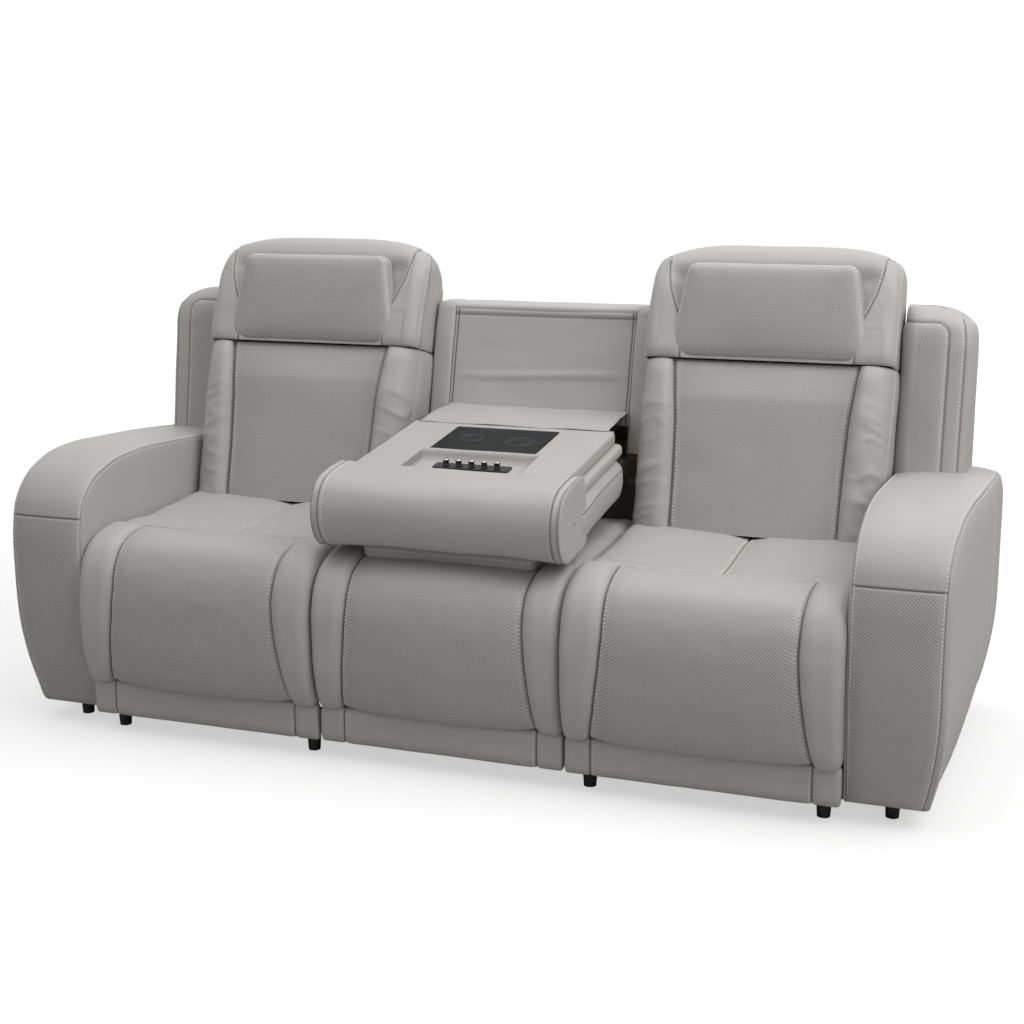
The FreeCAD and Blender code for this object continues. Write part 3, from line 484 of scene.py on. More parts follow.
def dress(tree, shader, colour, height, strength, distance):
    """Gives a shader its colour and its fine relief."""
    tree.links.new(colour, shader.inputs["Base Color"])
    bump = node(tree, "ShaderNodeBump", {"Height": height, "Strength": strength, "Distance": distance})
    tree.links.new(bump.outputs[0], shader.inputs["Normal"])


def build_leather(name, punched):
    sizes, colours = bpy.context.scene.sofa_sizes, bpy.context.scene.sofa_colours
    tree, shader = new_material(name, colours.leather, 0.5, Specular_IOR_Level=0.42)
    place = node(tree, "ShaderNodeTexCoord").outputs["Object"]
    grain = use_group(tree, "Hide grain", {"Vector": place, "Pebble Size": 0.0017, "Cloudiness": 0.10})
    # Painted shade: the shade attribute darkens the hide towards the seam colour in seams, stitch rows,
    # edges and gaps.
    shade = node(tree, "ShaderNodeAttribute", attribute_name="shade").outputs["Fac"]
    colour = mix_in_shade(tree, shade, tinted(tree, (*colours.leather,), grain["Tone"]), colours.seam)
    height = grain["Height"]
    if punched:
        surface = node(tree, "ShaderNodeUVMap", uv_map="Surface").outputs[0]
        share = node(tree, "ShaderNodeAttribute", attribute_name="holes").outputs["Fac"]
        holes = use_group(tree, "Punched holes", {"Vector": surface, "Pitch": sizes.hole_pitch,
                                                  "Radius": 0.2, "Share": share})
        # The punched holes are only a bump; their dark colour is painted shade inside them.
        colour = mix_in_shade(tree, maths(tree, "MULTIPLY", holes["Holes"], 0.72), colour, colours.hole)
        height = maths(tree, "ADD", height, maths(tree, "MULTIPLY", holes["Height"], 4.0))
    dress(tree, shader, colour, height, 0.22, 0.0003)


def build_wood():
    colours = bpy.context.scene.sofa_colours
    tree, shader = new_material("bare plywood", colours.plywood, 0.6)
    place = node(tree, "ShaderNodeTexCoord").outputs["Object"]
    grain = node(tree, "ShaderNodeTexWave", {"Vector": place, "Scale": 9.0, "Distortion": 6.0,
                                             "Detail": 3.0}, bands_direction="Z").outputs["Fac"]
    colour = tinted(tree, (*colours.plywood,), maths(tree, "MULTIPLY", grain, 0.25))
    dress(tree, shader, colour, grain, 0.2, 0.0004)


def build_flecked(name, colour, roughness, scale, depth, **sockets):
    """A plain finish with fine noise in its colour and surface."""
    tree, shader = new_material(name, colour, roughness, **sockets)
    flecks = noise(tree, node(tree, "ShaderNodeTexCoord").outputs["Object"], scale, 4.0)
    tone = maths(tree, "MULTIPLY", maths(tree, "SUBTRACT", flecks, 0.5), 0.3)
    dress(tree, shader, tinted(tree, colour, tone), flecks, 0.3, depth)


def build_woven(name, colour, pitch):
    """Plain weave: two sets of ribs at right angles."""
    tree, shader = new_material(name, colour, 0.85)
    place = node(tree, "ShaderNodeTexCoord").outputs["Object"]
    waves = vector_maths(tree, "SINE", vector_maths(tree, "SCALE", place, 2 * math.pi / pitch))
    x, y, z = node(tree, "ShaderNodeSeparateXYZ", {0: waves}).outputs
    rib = maths(tree, "ADD", maths(tree, "MULTIPLY", x, y), z)
    dress(tree, shader, tinted(tree, colour, maths(tree, "MULTIPLY", rib, 0.12)), rib, 0.4, 0.0003)


# How pieces are declared and shaped

def finish_piece(replaces=()):
    if replaces:
        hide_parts(*replaces)


def riding(made, body, replaces=()):
    """Parents a piece to the empty of the body it moves with, and hides the frame parts it replaces."""
    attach(made, body)
    finish_piece(replaces)


def cover(name, skins, body, replaces=(), side=1):
    """A padded piece of leather that moves with one body."""
    riding(skin_object(name, skins, side), body, replaces=replaces)


def tube(p, n, radius, ring=6):
    """A thin cord round a closed loop of points, n being the direction away from its bed."""
    along = unit(np.roll(p, -1, 0) - np.roll(p, 1, 0))
    cross = unit(np.cross(n, along))
    turns = np.arange(ring)[:, None] * 2 * math.pi / ring
    verts = p[:, None] + radius * (cross[:, None] * np.cos(turns)
                                   + np.cross(along, cross)[:, None] * np.sin(turns))
    return verts.reshape(-1, 3), ring_faces(len(p), ring, closed=True)


def rolled(u, half, corner):
    """How far a cushion's side edge turns in: round first, then straight down beyond half."""
    d = np.abs(u) - (half - corner)
    turn = np.clip(d, 0, corner)
    return -(corner - np.sqrt(corner**2 - turn**2)) - np.clip(d - corner, 0, None)


def cushion(section, half_x, half_y, corner, place, rounds, step=0.006, taper=None, lift=None, fine=()):
    """A closed cushion. section gives (inset, height) from the middle of its underside to its crown."""
    def base(u, v):
        inset, height = section.at(v)
        x, y = ring_at(u, half_x - inset, half_y - inset, np.maximum(corner - inset, corner * 0.3))
        if taper:
            x = x * taper(y)
        return place(x, y, height)
    return Skin(rounds, spread(0, section.length, step, fine=fine), base, lift, ring=True)


# Fronts: the pads, seats and strips of the three modules

PAD_SEAM = 0.2125
STITCH_SET = 0.0062
EDGE_TURN = (0.0005, 0.0015, 0.003, 0.005, 0.008)
OUTER_FRONT = Line((0.040, 0.141), (0.020, 0.1375), (0.004, 0.142), (-0.008, 0.162), (-0.0185, 0.20),
                   (-0.027, 0.25), (-0.030, 0.30), (-0.0265, 0.37), (-0.013, 0.418), (0.012, 0.452),
                   (0.05, 0.472), (0.10, 0.482), (0.145, 0.484), (0.22, 0.476), (0.35, 0.480),
                   (0.465, 0.487), (0.56, 0.480), (0.61, 0.462))
CENTRE_FRONT = Line((0.052, 0.141), (0.030, 0.1375), (0.014, 0.142), (0.003, 0.162), (-0.008, 0.20),
                    (-0.017, 0.25), (-0.020, 0.30), (-0.0165, 0.37), (-0.004, 0.412), (0.020, 0.442),
                    (0.055, 0.461), (0.10, 0.471), (0.145, 0.474), (0.22, 0.476), (0.35, 0.480),
                    (0.50, 0.482), (0.61, 0.470))


class Module:
    """The front and top of one seat: a pad of three parts below a cross seam, and the seat behind."""

    def __init__(self, front, middle, half, seam_halves, seed):
        self.front, self.middle, self.half, self.seed = front, middle, half, seed
        self.cross = front.near(0.145, 0.480)
        self.seam_runs = [front.near(*p) for p in ((0.003, 0.14), (-0.02, 0.2), (-0.03, 0.3), (-0.026, 0.37),
                                                   (0.0, 0.44), (0.145, 0.484))]
        self.seam_halves = seam_halves

    def point(self, u, v):
        sway = -0.008 * (1 - (u / self.half) ** 2) * bell(v - self.cross, 0.11)
        y, z = self.front.at(v + np.where(np.abs(u) < self.half, sway, 0))
        seam = np.interp(v, self.seam_runs, self.seam_halves)
        x = self.middle + across(u, (-self.half, -PAD_SEAM, PAD_SEAM, self.half),
                                 (-self.half, -seam, seam, self.half))
        return x, y, z

    def wrinkles(self, u, v, gain=1.0):
        soft = 0.0014 * ripple(u, v, (0.11, 0.07), self.seed)
        soft = soft + 0.0004 * ripple(u, v, (0.035, 0.022), self.seed + 1)
        near = bell(np.minimum(np.abs(np.abs(u) - PAD_SEAM), np.abs(v - self.cross)), 0.018)
        return gain * (soft + near * creases(u, v, (0.03, 0.014), self.seed + 2) * 0.0010)

    def pad_lift(self, u, v):
        low = rise(v / 0.03)
        high = rise((self.cross - v) / 0.04, 2.2)
        a = np.abs(u)
        sides = puff(a, PAD_SEAM, self.half + 0.02, 0.014, 0.028)
        middle = puff(u, -PAD_SEAM, PAD_SEAM, 0.008, 0.05) + 0.010 * np.clip(1 - (u / PAD_SEAM) ** 2, 0, 1)
        middle = middle * mix(0.25, 1, ease((self.cross - v) / 0.15))
        lift = np.where(a > PAD_SEAM, sides, middle) * low * high
        lift = lift + groove(a - PAD_SEAM, 0.0035) + groove(v - self.cross, 0.004)
        return lift + rolled(u, self.half, 0.024) + self.wrinkles(u, v) * low

    def seat_lift(self, u, v):
        start = rise((v - self.cross) / 0.05)
        a = np.abs(u)
        halves = puff(a, 0, self.half + 0.05, 0.012, 0.09) - 0.006 * (1 - (u / self.half) ** 2)
        dip = -0.006 * bell(v - self.cross - 0.045, 0.035)
        dip = dip * np.clip(1 - (u / self.half) ** 4, 0, 1)
        lift = (halves + dip) * start + groove(u, 0.003) + groove(v - self.cross, 0.004)
        return lift + rolled(u, self.half, 0.030) + self.wrinkles(u, v, 1.3)

    def pad(self):
        u = spread(-self.half - 0.05, self.half + 0.05, 0.0065, fine=(-PAD_SEAM, PAD_SEAM), reach=0.0092)
        skin = Skin(with_edges(u, self.half, EDGE_TURN), spread(0, self.cross, 0.0065, fine=(self.cross,)),
                    self.point, self.pad_lift)
        a = np.abs(skin.uu)
        # Painted shade along the pad's side seams, its cross seam and its stitch rows, where the needle
        # holes are.
        skin.paint_shade(a - PAD_SEAM)
        skin.paint_shade(skin.vv - self.cross, 0.75, 0.0022)
        skin.paint_shade(a - PAD_SEAM + STITCH_SET, 0.45, 0.0014)
        fade = np.interp(skin.vv, [self.front.near(-0.028, 0.36), self.front.near(0.012, 0.452),
                                   self.front.near(0.09, 0.481)], [1, 0.65, 0])
        skin.hole_share = ease((PAD_SEAM - 0.011 - a) / 0.005) * fade * ease((skin.vv - 0.012) / 0.01)
        return skin

    def seat(self):
        u = spread(-self.half - 0.05, self.half + 0.05, 0.009, fine=(0,), reach=0.006)
        v = spread(self.cross, self.front.length, 0.009, fine=(self.cross,))
        skin = Skin(with_edges(u, self.half, EDGE_TURN), v, self.point, self.seat_lift)
        # Painted shade along the seat's middle seam and its cross seam.
        skin.paint_shade(skin.uu, 0.7)
        skin.paint_shade(skin.vv - self.cross, 0.6)
        return skin

    def pad_rows(self, skin):
        return both_rows(skin, PAD_SEAM - STITCH_SET, np.linspace(0.012, self.cross - 0.006, 40))

    def seat_rows(self, skin):
        return both_rows(skin, STITCH_SET, np.linspace(self.cross + 0.008, self.front.near(0.50, 0.485), 30))


def front_modules():
    sizes = bpy.context.scene.sofa_sizes
    outer = (0.238, 0.226, 0.212, 0.206, 0.207, 0.2125)
    made = {name: Module(OUTER_FRONT, SEAT_MID, SEAT_HALF, outer, sizes.seed + k * 7)
            for k, name in enumerate(SIDES)}
    centre = (0.230, 0.222, 0.212, 0.207, 0.206, 0.208)
    made["centre"] = Module(CENTRE_FRONT, 0.0, CENTRE_HALF, centre, sizes.seed + 21)
    return made


def pad_hold(made):
    """On the sofa the pad's cover stays on the seat at its top and swings with the footrest below; here it
    is only baked in place and attached to no body.
    """
    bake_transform(made)


class SOFA_OT_seats(bpy.types.Operator):
    """Pads and seats of the two reclining modules and of the fixed middle one"""
    bl_idname = "sofa.seats"
    bl_label = "Seats and pads"

    def execute(self, context):
        for name, module in front_modules().items():
            side = SIDES.get(name, 1)
            pad, seat = module.pad(), module.seat()
            if name == "centre":
                cover("centre_seat_cover", [pad, seat], "frame", ("centre_seat_cushion",))
                stitches("centre_seat_stitches", module.pad_rows(pad), "frame")
                continue
            made = skin_object(name + "_pad_cover", [pad], side)
            pad_hold(made)
            finish_piece((name + "_footrest_pad",))
            pad_hold(stitches(name + "_pad_stitches", module.pad_rows(pad), None, side))
            cover(name + "_seat_cover", [seat], name + "_seat", (name + "_seat_cushion",), side)
            stitches(name + "_seat_stitches", module.seat_rows(seat), name + "_seat", side)
        return {"FINISHED"}


def strip_skin(middle, half, depth, seams):
    section = Line((depth + 0.018, 0.0455), (depth + 0.006, 0.0465), (depth + 0.0015, 0.056), (depth, 0.088),
                   (depth + 0.0015, 0.119), (depth + 0.006, 0.1285), (depth + 0.018, 0.1295))
    def base(u, v):
        y, z = section.at(v)
        return middle + across(u, (-half, half), (-half, half)), y, z
    def lift(u, v):
        plump = 0.0030 * np.where(np.abs(u) < seams, puff(u, -seams, seams, 1, 0.02),
                                  puff(np.abs(u), seams, half + 0.01, 1, 0.015))
        face = np.clip(np.minimum(v, section.length - v) / 0.02, 0, 1)
        return (plump * face + groove(np.abs(u) - seams, 0.0025) * face + rolled(u, half, 0.008)
                + 0.0005 * ripple(u, v, (0.05, 0.03), 5))
    u = spread(-half - 0.014, half + 0.014, 0.009, fine=(-seams, seams), reach=0.006)
    u = with_edges(u, half, (0.0003, 0.001, 0.002, 0.004, 0.006))
    skin = Skin(u, spread(0, section.length, 0.004), base, lift)
    # Painted shade along the strip's two seams.
    skin.paint_shade(np.abs(skin.uu) - seams)
    return skin, both_rows(skin, seams - 0.006, np.linspace(0.014, section.length - 0.014, 12))


class SOFA_OT_strips(bpy.types.Operator):
    """Low strips of leather under the pads"""
    bl_idname = "sofa.strips"
    bl_label = "Front strips"

    def execute(self, context):
        for name, side in SIDES.items():
            skin, rows = strip_skin(SEAT_MID, 0.2960, 0.012, 0.238)
            body = name + "_footrest"
            cover(name + "_front_strip_cover", [skin], body, (name + "_footrest_strip",), side)
            stitches(name + "_front_strip_stitches", rows, body, side)
        skin, rows = strip_skin(0.0, 0.2895, 0.016, 0.230)
        cover("centre_strip_cover", [skin], "frame", ("centre_front_strip",))
        stitches("centre_strip_stitches", rows, "frame")
        return {"FINISHED"}


# Arms and wings: slabs between an inner and an outer wall, wrapped by one strip of leather

class Slab:
    """A strip of leather of a given width laid over an edge line, with a wall down each side."""

    def __init__(self, edge, stops, places, foot, x_in, x_out, width, deep=0.5):
        self.edge, self.stops, self.places, self.foot = edge, stops, places, foot
        self.x_in, self.x_out, self.width, self.deep = x_in, x_out, width, deep

    def point(self, u, v):
        ey, ez = self.edge.at(v)
        t = np.clip(np.maximum(-u, u - self.width) / self.deep, 0, 1)
        y, z = mix(ey, np.interp(v, self.stops, self.places), t), mix(ez, self.foot, t)
        low, high = self.x_in(y, z), self.x_out(y, z)
        under = np.clip(np.maximum(-u, u - self.width) - self.deep, 0, None) / 0.1 * (high - low) / 2
        x = mix(low, high, np.clip(u / self.width, 0, 1)) + np.where(u < 0, under, -under)
        return x, y, z

    def columns(self, step, fine):
        beside = np.r_[0.004, 0.009, 0.016, 0.026, np.linspace(0.04, self.deep, 16), self.deep + 0.05,
                       self.deep + 0.1]
        strip = spread(0, self.width, step, fine=fine, reach=0.006)
        edge = np.array([0.0014, 0.0028])
        return np.unique(np.round(np.r_[-beside, -edge, strip, self.width + edge, self.width + beside], 6))


ARM_EDGE = Line((0.052, 0.0465), (0.045, 0.085), (0.025, 0.163), (0.002, 0.284), (-0.006, 0.40),
                (-0.003, 0.50), (0.012, 0.555), (0.05, 0.598), (0.13, 0.632), (0.265, 0.647), (0.40, 0.643),
                (0.522, 0.636), (0.75, 0.616), (0.90, 0.600), (0.925, 0.592), (0.934, 0.570), (0.935, 0.40),
                (0.935, 0.0465))
ARM_SEAM = ARM_EDGE.near(-0.001, 0.52)
ARM_REAR_SEAM = ARM_EDGE.near(0.62, 0.628)
ARM_WIDTH = 0.19


def arm_outside(y, z):
    plan = np.interp(y, [-0.06, 0.0, 0.10, 0.20, 0.374, 0.55, 0.75, 0.935],
                     [1.0725, 1.0795, 1.0895, 1.0975, 1.109, 1.1150, 1.1180, 1.1185])
    bulge = 0.004 * np.sin(math.pi * np.clip((y - 0.02) / 0.9, 0, 1))
    bulge = bulge * np.sin(math.pi * np.clip(z / 0.6, 0, 1))
    return plan + bulge - 0.034 * (np.clip(0.30 - z, 0, 0.254) / 0.254) ** 2


class SOFA_OT_arms(bpy.types.Operator):
    """Curved arms with a punched front, a plain padded top and stitched edges"""
    bl_idname = "sofa.arms"
    bl_label = "Arms"

    def execute(self, context):
        for k, (name, side) in enumerate(SIDES.items()):
            stops = [0, ARM_EDGE.near(0.012, 0.555), ARM_REAR_SEAM, ARM_EDGE.near(0.925, 0.592),
                     ARM_EDGE.length]
            slab = Slab(ARM_EDGE, stops, [0.052, 0.22, 0.62, 0.915, 0.935], FOOT_Z,
                        lambda y, z: ARM_X + 0 * y, arm_outside, ARM_WIDTH)
            seed = context.scene.sofa_sizes.seed + 40 + k
            def lift(u, v):
                s = np.clip(u / ARM_WIDTH, 0, 1)
                on = (u >= 0) & (u <= ARM_WIDTH)
                beside = np.maximum(-u, u - ARM_WIDTH)
                strip = 0.013 * (1 - np.abs(2 * s - 1) ** 3.2)
                wall = np.where(u < 0, 0.004, 0.010) * rise(beside / 0.05)
                wall = wall * np.clip((slab.deep - beside) / 0.2, 0, 1)
                seams = groove(u, 0.0035) + groove(u - ARM_WIDTH, 0.0035)
                seams = seams + np.where(on, groove(v - ARM_SEAM, 0.0035, 0.0022), 0)
                seams = seams + np.where(u > ARM_WIDTH, groove(v - ARM_REAR_SEAM, 0.0016, 0.002), 0)
                foot = np.clip(v / 0.012, 0, 1) * np.clip((ARM_EDGE.length - v) / 0.012, 0, 1)
                soft = ripple(u, v, (0.16, 0.2), seed) * 0.0016
                soft = soft * np.clip(np.where(on, 1, beside / 0.1), 0, 1)
                return (np.where(on, strip, wall) + soft) * foot + seams
            u = slab.columns(0.0065, (0, ARM_WIDTH))
            v = spread(0, ARM_EDGE.length, 0.009, fine=(ARM_SEAM, ARM_REAR_SEAM), reach=0.006)
            skin = Skin(u, v, slab.point, lift)
            on = (skin.uu >= 0) & (skin.uu <= ARM_WIDTH)
            edges = np.minimum(np.abs(skin.uu), np.abs(skin.uu - ARM_WIDTH))
            # Painted shade along the arm's two edge seams, its front seam and its rear seam.
            skin.paint_shade(edges, 0.8)
            skin.paint_shade(skin.vv - ARM_SEAM, 0.8, where=on)
            skin.paint_shade(skin.vv - ARM_REAR_SEAM, 0.45, 0.0014, where=skin.uu > ARM_WIDTH)
            above = np.interp(skin.vv, [ARM_SEAM + 0.004, ARM_SEAM + 0.008, ARM_SEAM + 0.17], [0, 0.42, 0])
            share = np.where(skin.vv < ARM_SEAM, ease((ARM_SEAM - 0.004 - skin.vv) / 0.004), above)
            skin.hole_share = np.where(on, ease((edges - 0.011) / 0.005) * share * ease(skin.vv / 0.02), 0)
            cover(name + "_arm_leather", [skin], "frame", (name + "_arm_cover",), side)
            v = np.linspace(0.02, ARM_EDGE.near(0.93, 0.58), 200)
            rear = np.linspace(ARM_WIDTH + 0.012, ARM_WIDTH + 0.47, 30)
            rows = [stitch_row(skin, STITCH_SET, v), stitch_row(skin, ARM_WIDTH - STITCH_SET, v),
                    stitch_row(skin, rear, ARM_REAR_SEAM + 0.004)]
            stitches(name + "_arm_stitches", rows, "frame", side)
        return {"FINISHED"}


WING_FRONT = Line((0.655, 0.60), (0.668, 0.68), (0.682, 0.78), (0.696, 0.88), (0.706, 0.945), (0.719, 0.980),
                  (0.745, 1.001), (0.82, 1.0085))
WING_REAR = Line((0.930, 0.60), (0.930, 0.72), (0.930, 0.85), (0.928, 0.93), (0.918, 0.968), (0.895, 0.993),
                 (0.82, 1.0085))
WING_OUT = 1.0515
WING_PANEL = 0.997
WING_PANEL_TOP = 0.977
WING_TURN = 0.028
WING_CORNER = 0.034
WING_SIDE_SEAM = 1.36


def rounded_gap(u, v, u_end, v_end, corner):
    """Signed distance from a panel's edge that runs up at u_end and turns in at v_end."""
    a, b = u - u_end + corner, v - v_end + corner
    return np.hypot(np.maximum(a, 0), np.maximum(b, 0)) + np.minimum(np.maximum(a, b), 0) - corner


def rounded_path(u_end, v_end, corner, v_start, u_start):
    """Places along such an edge, from its foot to its inner end."""
    turn = np.linspace(0, math.pi / 2, 16)
    u = np.r_[[u_end] * 20, u_end - corner + corner * np.cos(turn), np.linspace(u_end - corner, u_start, 12)]
    v = np.r_[np.linspace(v_start, v_end - corner, 20), v_end - corner + corner * np.sin(turn), [v_end] * 12]
    return u, v


class SOFA_OT_wings(bpy.types.Operator):
    """Low side wings behind the arms, beside the reclining backs"""
    bl_idname = "sofa.wings"
    bl_label = "Wings"

    def execute(self, context):
        low_x = ARM_X + 0.001
        def reach(v):
            return low_x + 0 * v, WING_OUT - 0.042 * np.clip((v - 0.66) / 0.34, 0, 1) ** 2.2
        def crown(share, v):
            return 0.034 * np.clip((share + 0.4) / 1.4, 0, 1) ** 3 * ease((v - 0.55) / 0.4)
        width = WING_OUT - low_x - 2 * WING_CORNER
        block = Block(WING_FRONT, WING_REAR, reach, WING_CORNER, crown, lambda x, y, z: (x, y, z))
        def gap(u, v):
            """Distance beyond the seam round the front panel, far away on the other sides."""
            x = np.where(u > 7, low_x, low_x + WING_CORNER + np.clip(u, -0.4, 1.2) * width)
            z = WING_FRONT.at(v * WING_FRONT.length)[1]
            near = rounded_gap(x, z, WING_PANEL, WING_PANEL_TOP, WING_TURN)
            return np.where((u < 1) | (u > 7), near, 0.1)
        def lift(u, v):
            g = gap(u, v)
            plump = 0.006 * rise(-g / 0.03)
            edge = bell(u - WING_SIDE_SEAM, 0.09) * 0.003
            return groove(g, 0.003, 0.0026) + plump - edge + 0.0012 * ripple(u, v, (0.5, 0.2), 60)
        rounds = ring_stops(40, 10, 12, fine=(WING_SIDE_SEAM,))
        for name, side in SIDES.items():
            skin = Skin(rounds, spread(0, 1, 0.0095), block.point, lift, ring=True)
            g = gap(skin.uu, skin.vv)
            # Painted shade along the seam round the front panel and along the side seam.
            skin.paint_shade(g, 0.6, 0.002)
            skin.paint_shade((skin.uu - WING_SIDE_SEAM) * 0.053, 0.65, 0.0022)
            skin.hole_share = ease((-g - 0.010) / 0.005) * (skin.uu < 1)
            cover(name + "_wing_leather", [skin], "frame", (name + "_wing",), side)
            x, z = rounded_path(WING_PANEL - 0.0066, WING_PANEL_TOP - 0.0066, WING_TURN - 0.006, 0.605,
                                low_x + 0.036)
            v = np.interp(z, WING_FRONT.points[:, 1], WING_FRONT.run / WING_FRONT.length)
            rows = [stitch_row(skin, (x - low_x - WING_CORNER) / width, v),
                    stitch_row(skin, 1.20, np.linspace(0.01, 0.97, 60))]
            stitches(name + "_wing_stitches", rows, "frame", side)
        return {"FINISHED"}


# Reclining backs, drawn upright in their own plane and then leaned

BACK_SEAM = 0.200
GUSSET = 0.36
BACK_TOP = 0.3905
BACK_STITCH = 0.0065
BACK_FACE = ([-0.03, 0.0, 0.146, 0.278, 0.36, 0.4055, 0.523, 0.601],
             [-0.014, -0.018, -0.0257, -0.030, -0.020, -0.005, 0.008, 0.030])


def back_front(z):
    return np.interp(z, *BACK_FACE)


def back_section(u, z, face, panel_depth, panel_half, half, gusset_depth, rear):
    """The plan of a back at height z: panel, bolster, gusset and side, as (x, y)."""
    a, sign = np.abs(u), np.sign(u)
    t = np.clip((a - BACK_SEAM) / (GUSSET - BACK_SEAM), 0, 1)
    x = mix(panel_half, half, np.sin(t * math.pi / 2))
    y = face + (gusset_depth - face) * (1 - np.cos(t * math.pi / 2)) ** 1.3
    y = y + (panel_depth - face) * np.clip(1 - t / 0.22, 0, 1) ** 2.5
    inner = a < BACK_SEAM
    p = np.clip(a / BACK_SEAM, 0, 1)
    x = np.where(inner, panel_half * p, x)
    y = np.where(inner, panel_depth - 0.016 * (1 - p**2.6) * ease((BACK_TOP - z) / 0.10), y)
    s = np.clip((a - GUSSET) / 0.14, 0, None)
    y = np.where(a > GUSSET, gusset_depth + (0.19 - gusset_depth) * s, y)
    y = np.minimum(y, rear)
    return sign * x, y


class SOFA_OT_backs(bpy.types.Operator):
    """Reclining backs with a punched middle panel and plain side bolsters"""
    bl_idname = "sofa.backs"
    bl_label = "Backs"

    def execute(self, context):
        for k, (name, side) in enumerate(SIDES.items()):
            seed = context.scene.sofa_sizes.seed + 70 + k * 5
            def base(u, v):
                half = np.interp(v, [0, BACK_TOP], [0.2900, 0.2950])
                panel = np.interp(v, [0, 0.12, 0.25, BACK_TOP], [0.1965, 0.1975, 0.203, 0.2165])
                gusset = np.interp(v, [0, 0.186, 0.3145, BACK_TOP], [0.030, 0.039, 0.049, 0.054])
                depth = np.interp(v, [0, 0.3, BACK_TOP], [0.004, 0.001, 0.008])
                x, y = back_section(u, v, back_front(v), depth, panel, half, gusset, 0.372 - 0.268 * v)
                return back_point(x, y, v)
            def lift(u, v):
                a = np.abs(u)
                top = rise((BACK_TOP - v) / 0.03)
                sides = 0.0045 * puff(a, GUSSET, 0.53, 1, 0.03)
                bolster = np.sin(math.pi * np.clip((a - BACK_SEAM) / (GUSSET - BACK_SEAM), 0, 1))
                fold = creases(u, v + 0.25 * (a - 0.28), (0.12, 0.026), seed) * 0.0046
                fold = fold * bolster * np.clip((0.36 - v) / 0.15, 0.3, 1)
                soft = ripple(u, v, (0.10, 0.07), seed + 1) * 0.0016
                return (sides + groove(a - BACK_SEAM, 0.003) + groove(a - GUSSET, 0.003)
                        - 0.003 * (1 - top) + (soft + fold) * top)
            u = spread(-0.52, 0.52, 0.0065, fine=(-GUSSET, -BACK_SEAM, BACK_SEAM, GUSSET), reach=0.0092)
            v = spread(-0.02, BACK_TOP, 0.0065)
            skin = Skin(u, np.r_[v[:-1], BACK_TOP - 0.004, BACK_TOP - 0.002, BACK_TOP], base, lift)
            a = np.abs(skin.uu)
            # Painted shade along the panel seams, the gusset seams, the stitch rows and the top edge under
            # the head.
            skin.paint_shade(a - BACK_SEAM)
            skin.paint_shade(a - GUSSET, 0.6)
            skin.paint_shade(a - BACK_SEAM + BACK_STITCH, 0.45, 0.0014)
            skin.paint_shade(skin.vv - BACK_TOP, 0.5, 0.003)
            skin.hole_share = (ease((BACK_SEAM - 0.011 - a) / 0.005)
                               * np.interp(skin.vv, [0, 0.3, BACK_TOP], [1, 0.9, 0.45]))
            body = name + "_back"
            cover(name + "_back_cover", [skin, top_cap(skin)], body, (name + "_back_cushion",), side)
            v = np.linspace(0.0, BACK_TOP - 0.004, 60)
            rows = [row for seam in (BACK_SEAM, GUSSET) for row in both_rows(skin, seam - BACK_STITCH, v)]
            stitches(name + "_back_stitches", rows, body, side)
        return {"FINISHED"}


def top_cap(skin, steps=5):
    """Closes the upper rim of a back by carrying it to its middle line."""
    rim = skin.p[-1]
    target = rim * (0.35, 0, 0) + rim.mean(0) * (0.65, 1, 1) + (0, 0.03, -0.01)
    def base(u, v):
        return [mix(rim[:, k], target[:, k], v / steps) for k in range(3)]
    return Skin(skin.u, np.arange(steps + 1.0), base)


class Block:
    """A soft block of level rings between a front and a rear line that meet along its top."""

    def __init__(self, front, rear, reach, corner, crown, place, seam=None):
        self.front, self.rear, self.reach, self.corner = front, rear, reach, corner
        self.crown, self.place, self.seam = crown, place, seam

    def point(self, u, v):
        fy, fz = self.front.at(v * self.front.length)
        ry, rz = self.rear.at(v * self.rear.length)
        low, high = self.reach(v)
        half, deep = (high - low) / 2, (ry - fy) / 2
        corner = np.minimum(self.corner, deep * 0.98)
        x, y = ring_at(u, half, deep, corner)
        if self.seam:
            flat = half - corner
            front = across(u, (0, 0.1, 0.9, 1), (-flat, -self.seam(fz), self.seam(fz), flat))
            x = np.where(u < 1, front, x)
        share = np.clip((y + deep) / np.maximum(2 * deep, 1e-9), 0, 1)
        z = mix(fz, rz, share) - self.crown(x / half, v)
        return self.place((low + high) / 2 + x, (fy + ry) / 2 + y, z)


HEAD_FRONT = Line((-0.004, 0.3925), (-0.004, 0.42), (0.001, 0.465), (0.009, 0.523), (0.021, 0.585),
                  (0.035, 0.628), (0.053, 0.660), (0.0835, 0.6775))
HEAD_REAR = Line((0.194, 0.3925), (0.193, 0.45), (0.186, 0.52), (0.172, 0.585), (0.153, 0.63),
                 (0.124, 0.664), (0.0835, 0.6775))


HEAD_SEAMS = (0.1, 0.9)
HEAD_SIDE_SEAMS = (2.02, 6.98)


def head_seam(z):
    return np.interp(z, [0.40, 0.47, 0.52, 0.56, 0.61, 0.66], [0.205, 0.206, 0.228, 0.244, 0.254, 0.258])


def head_gap(u):
    """How far beyond the two seams of a head's front, in shares of its width."""
    return np.abs(u - 0.5) - 0.4


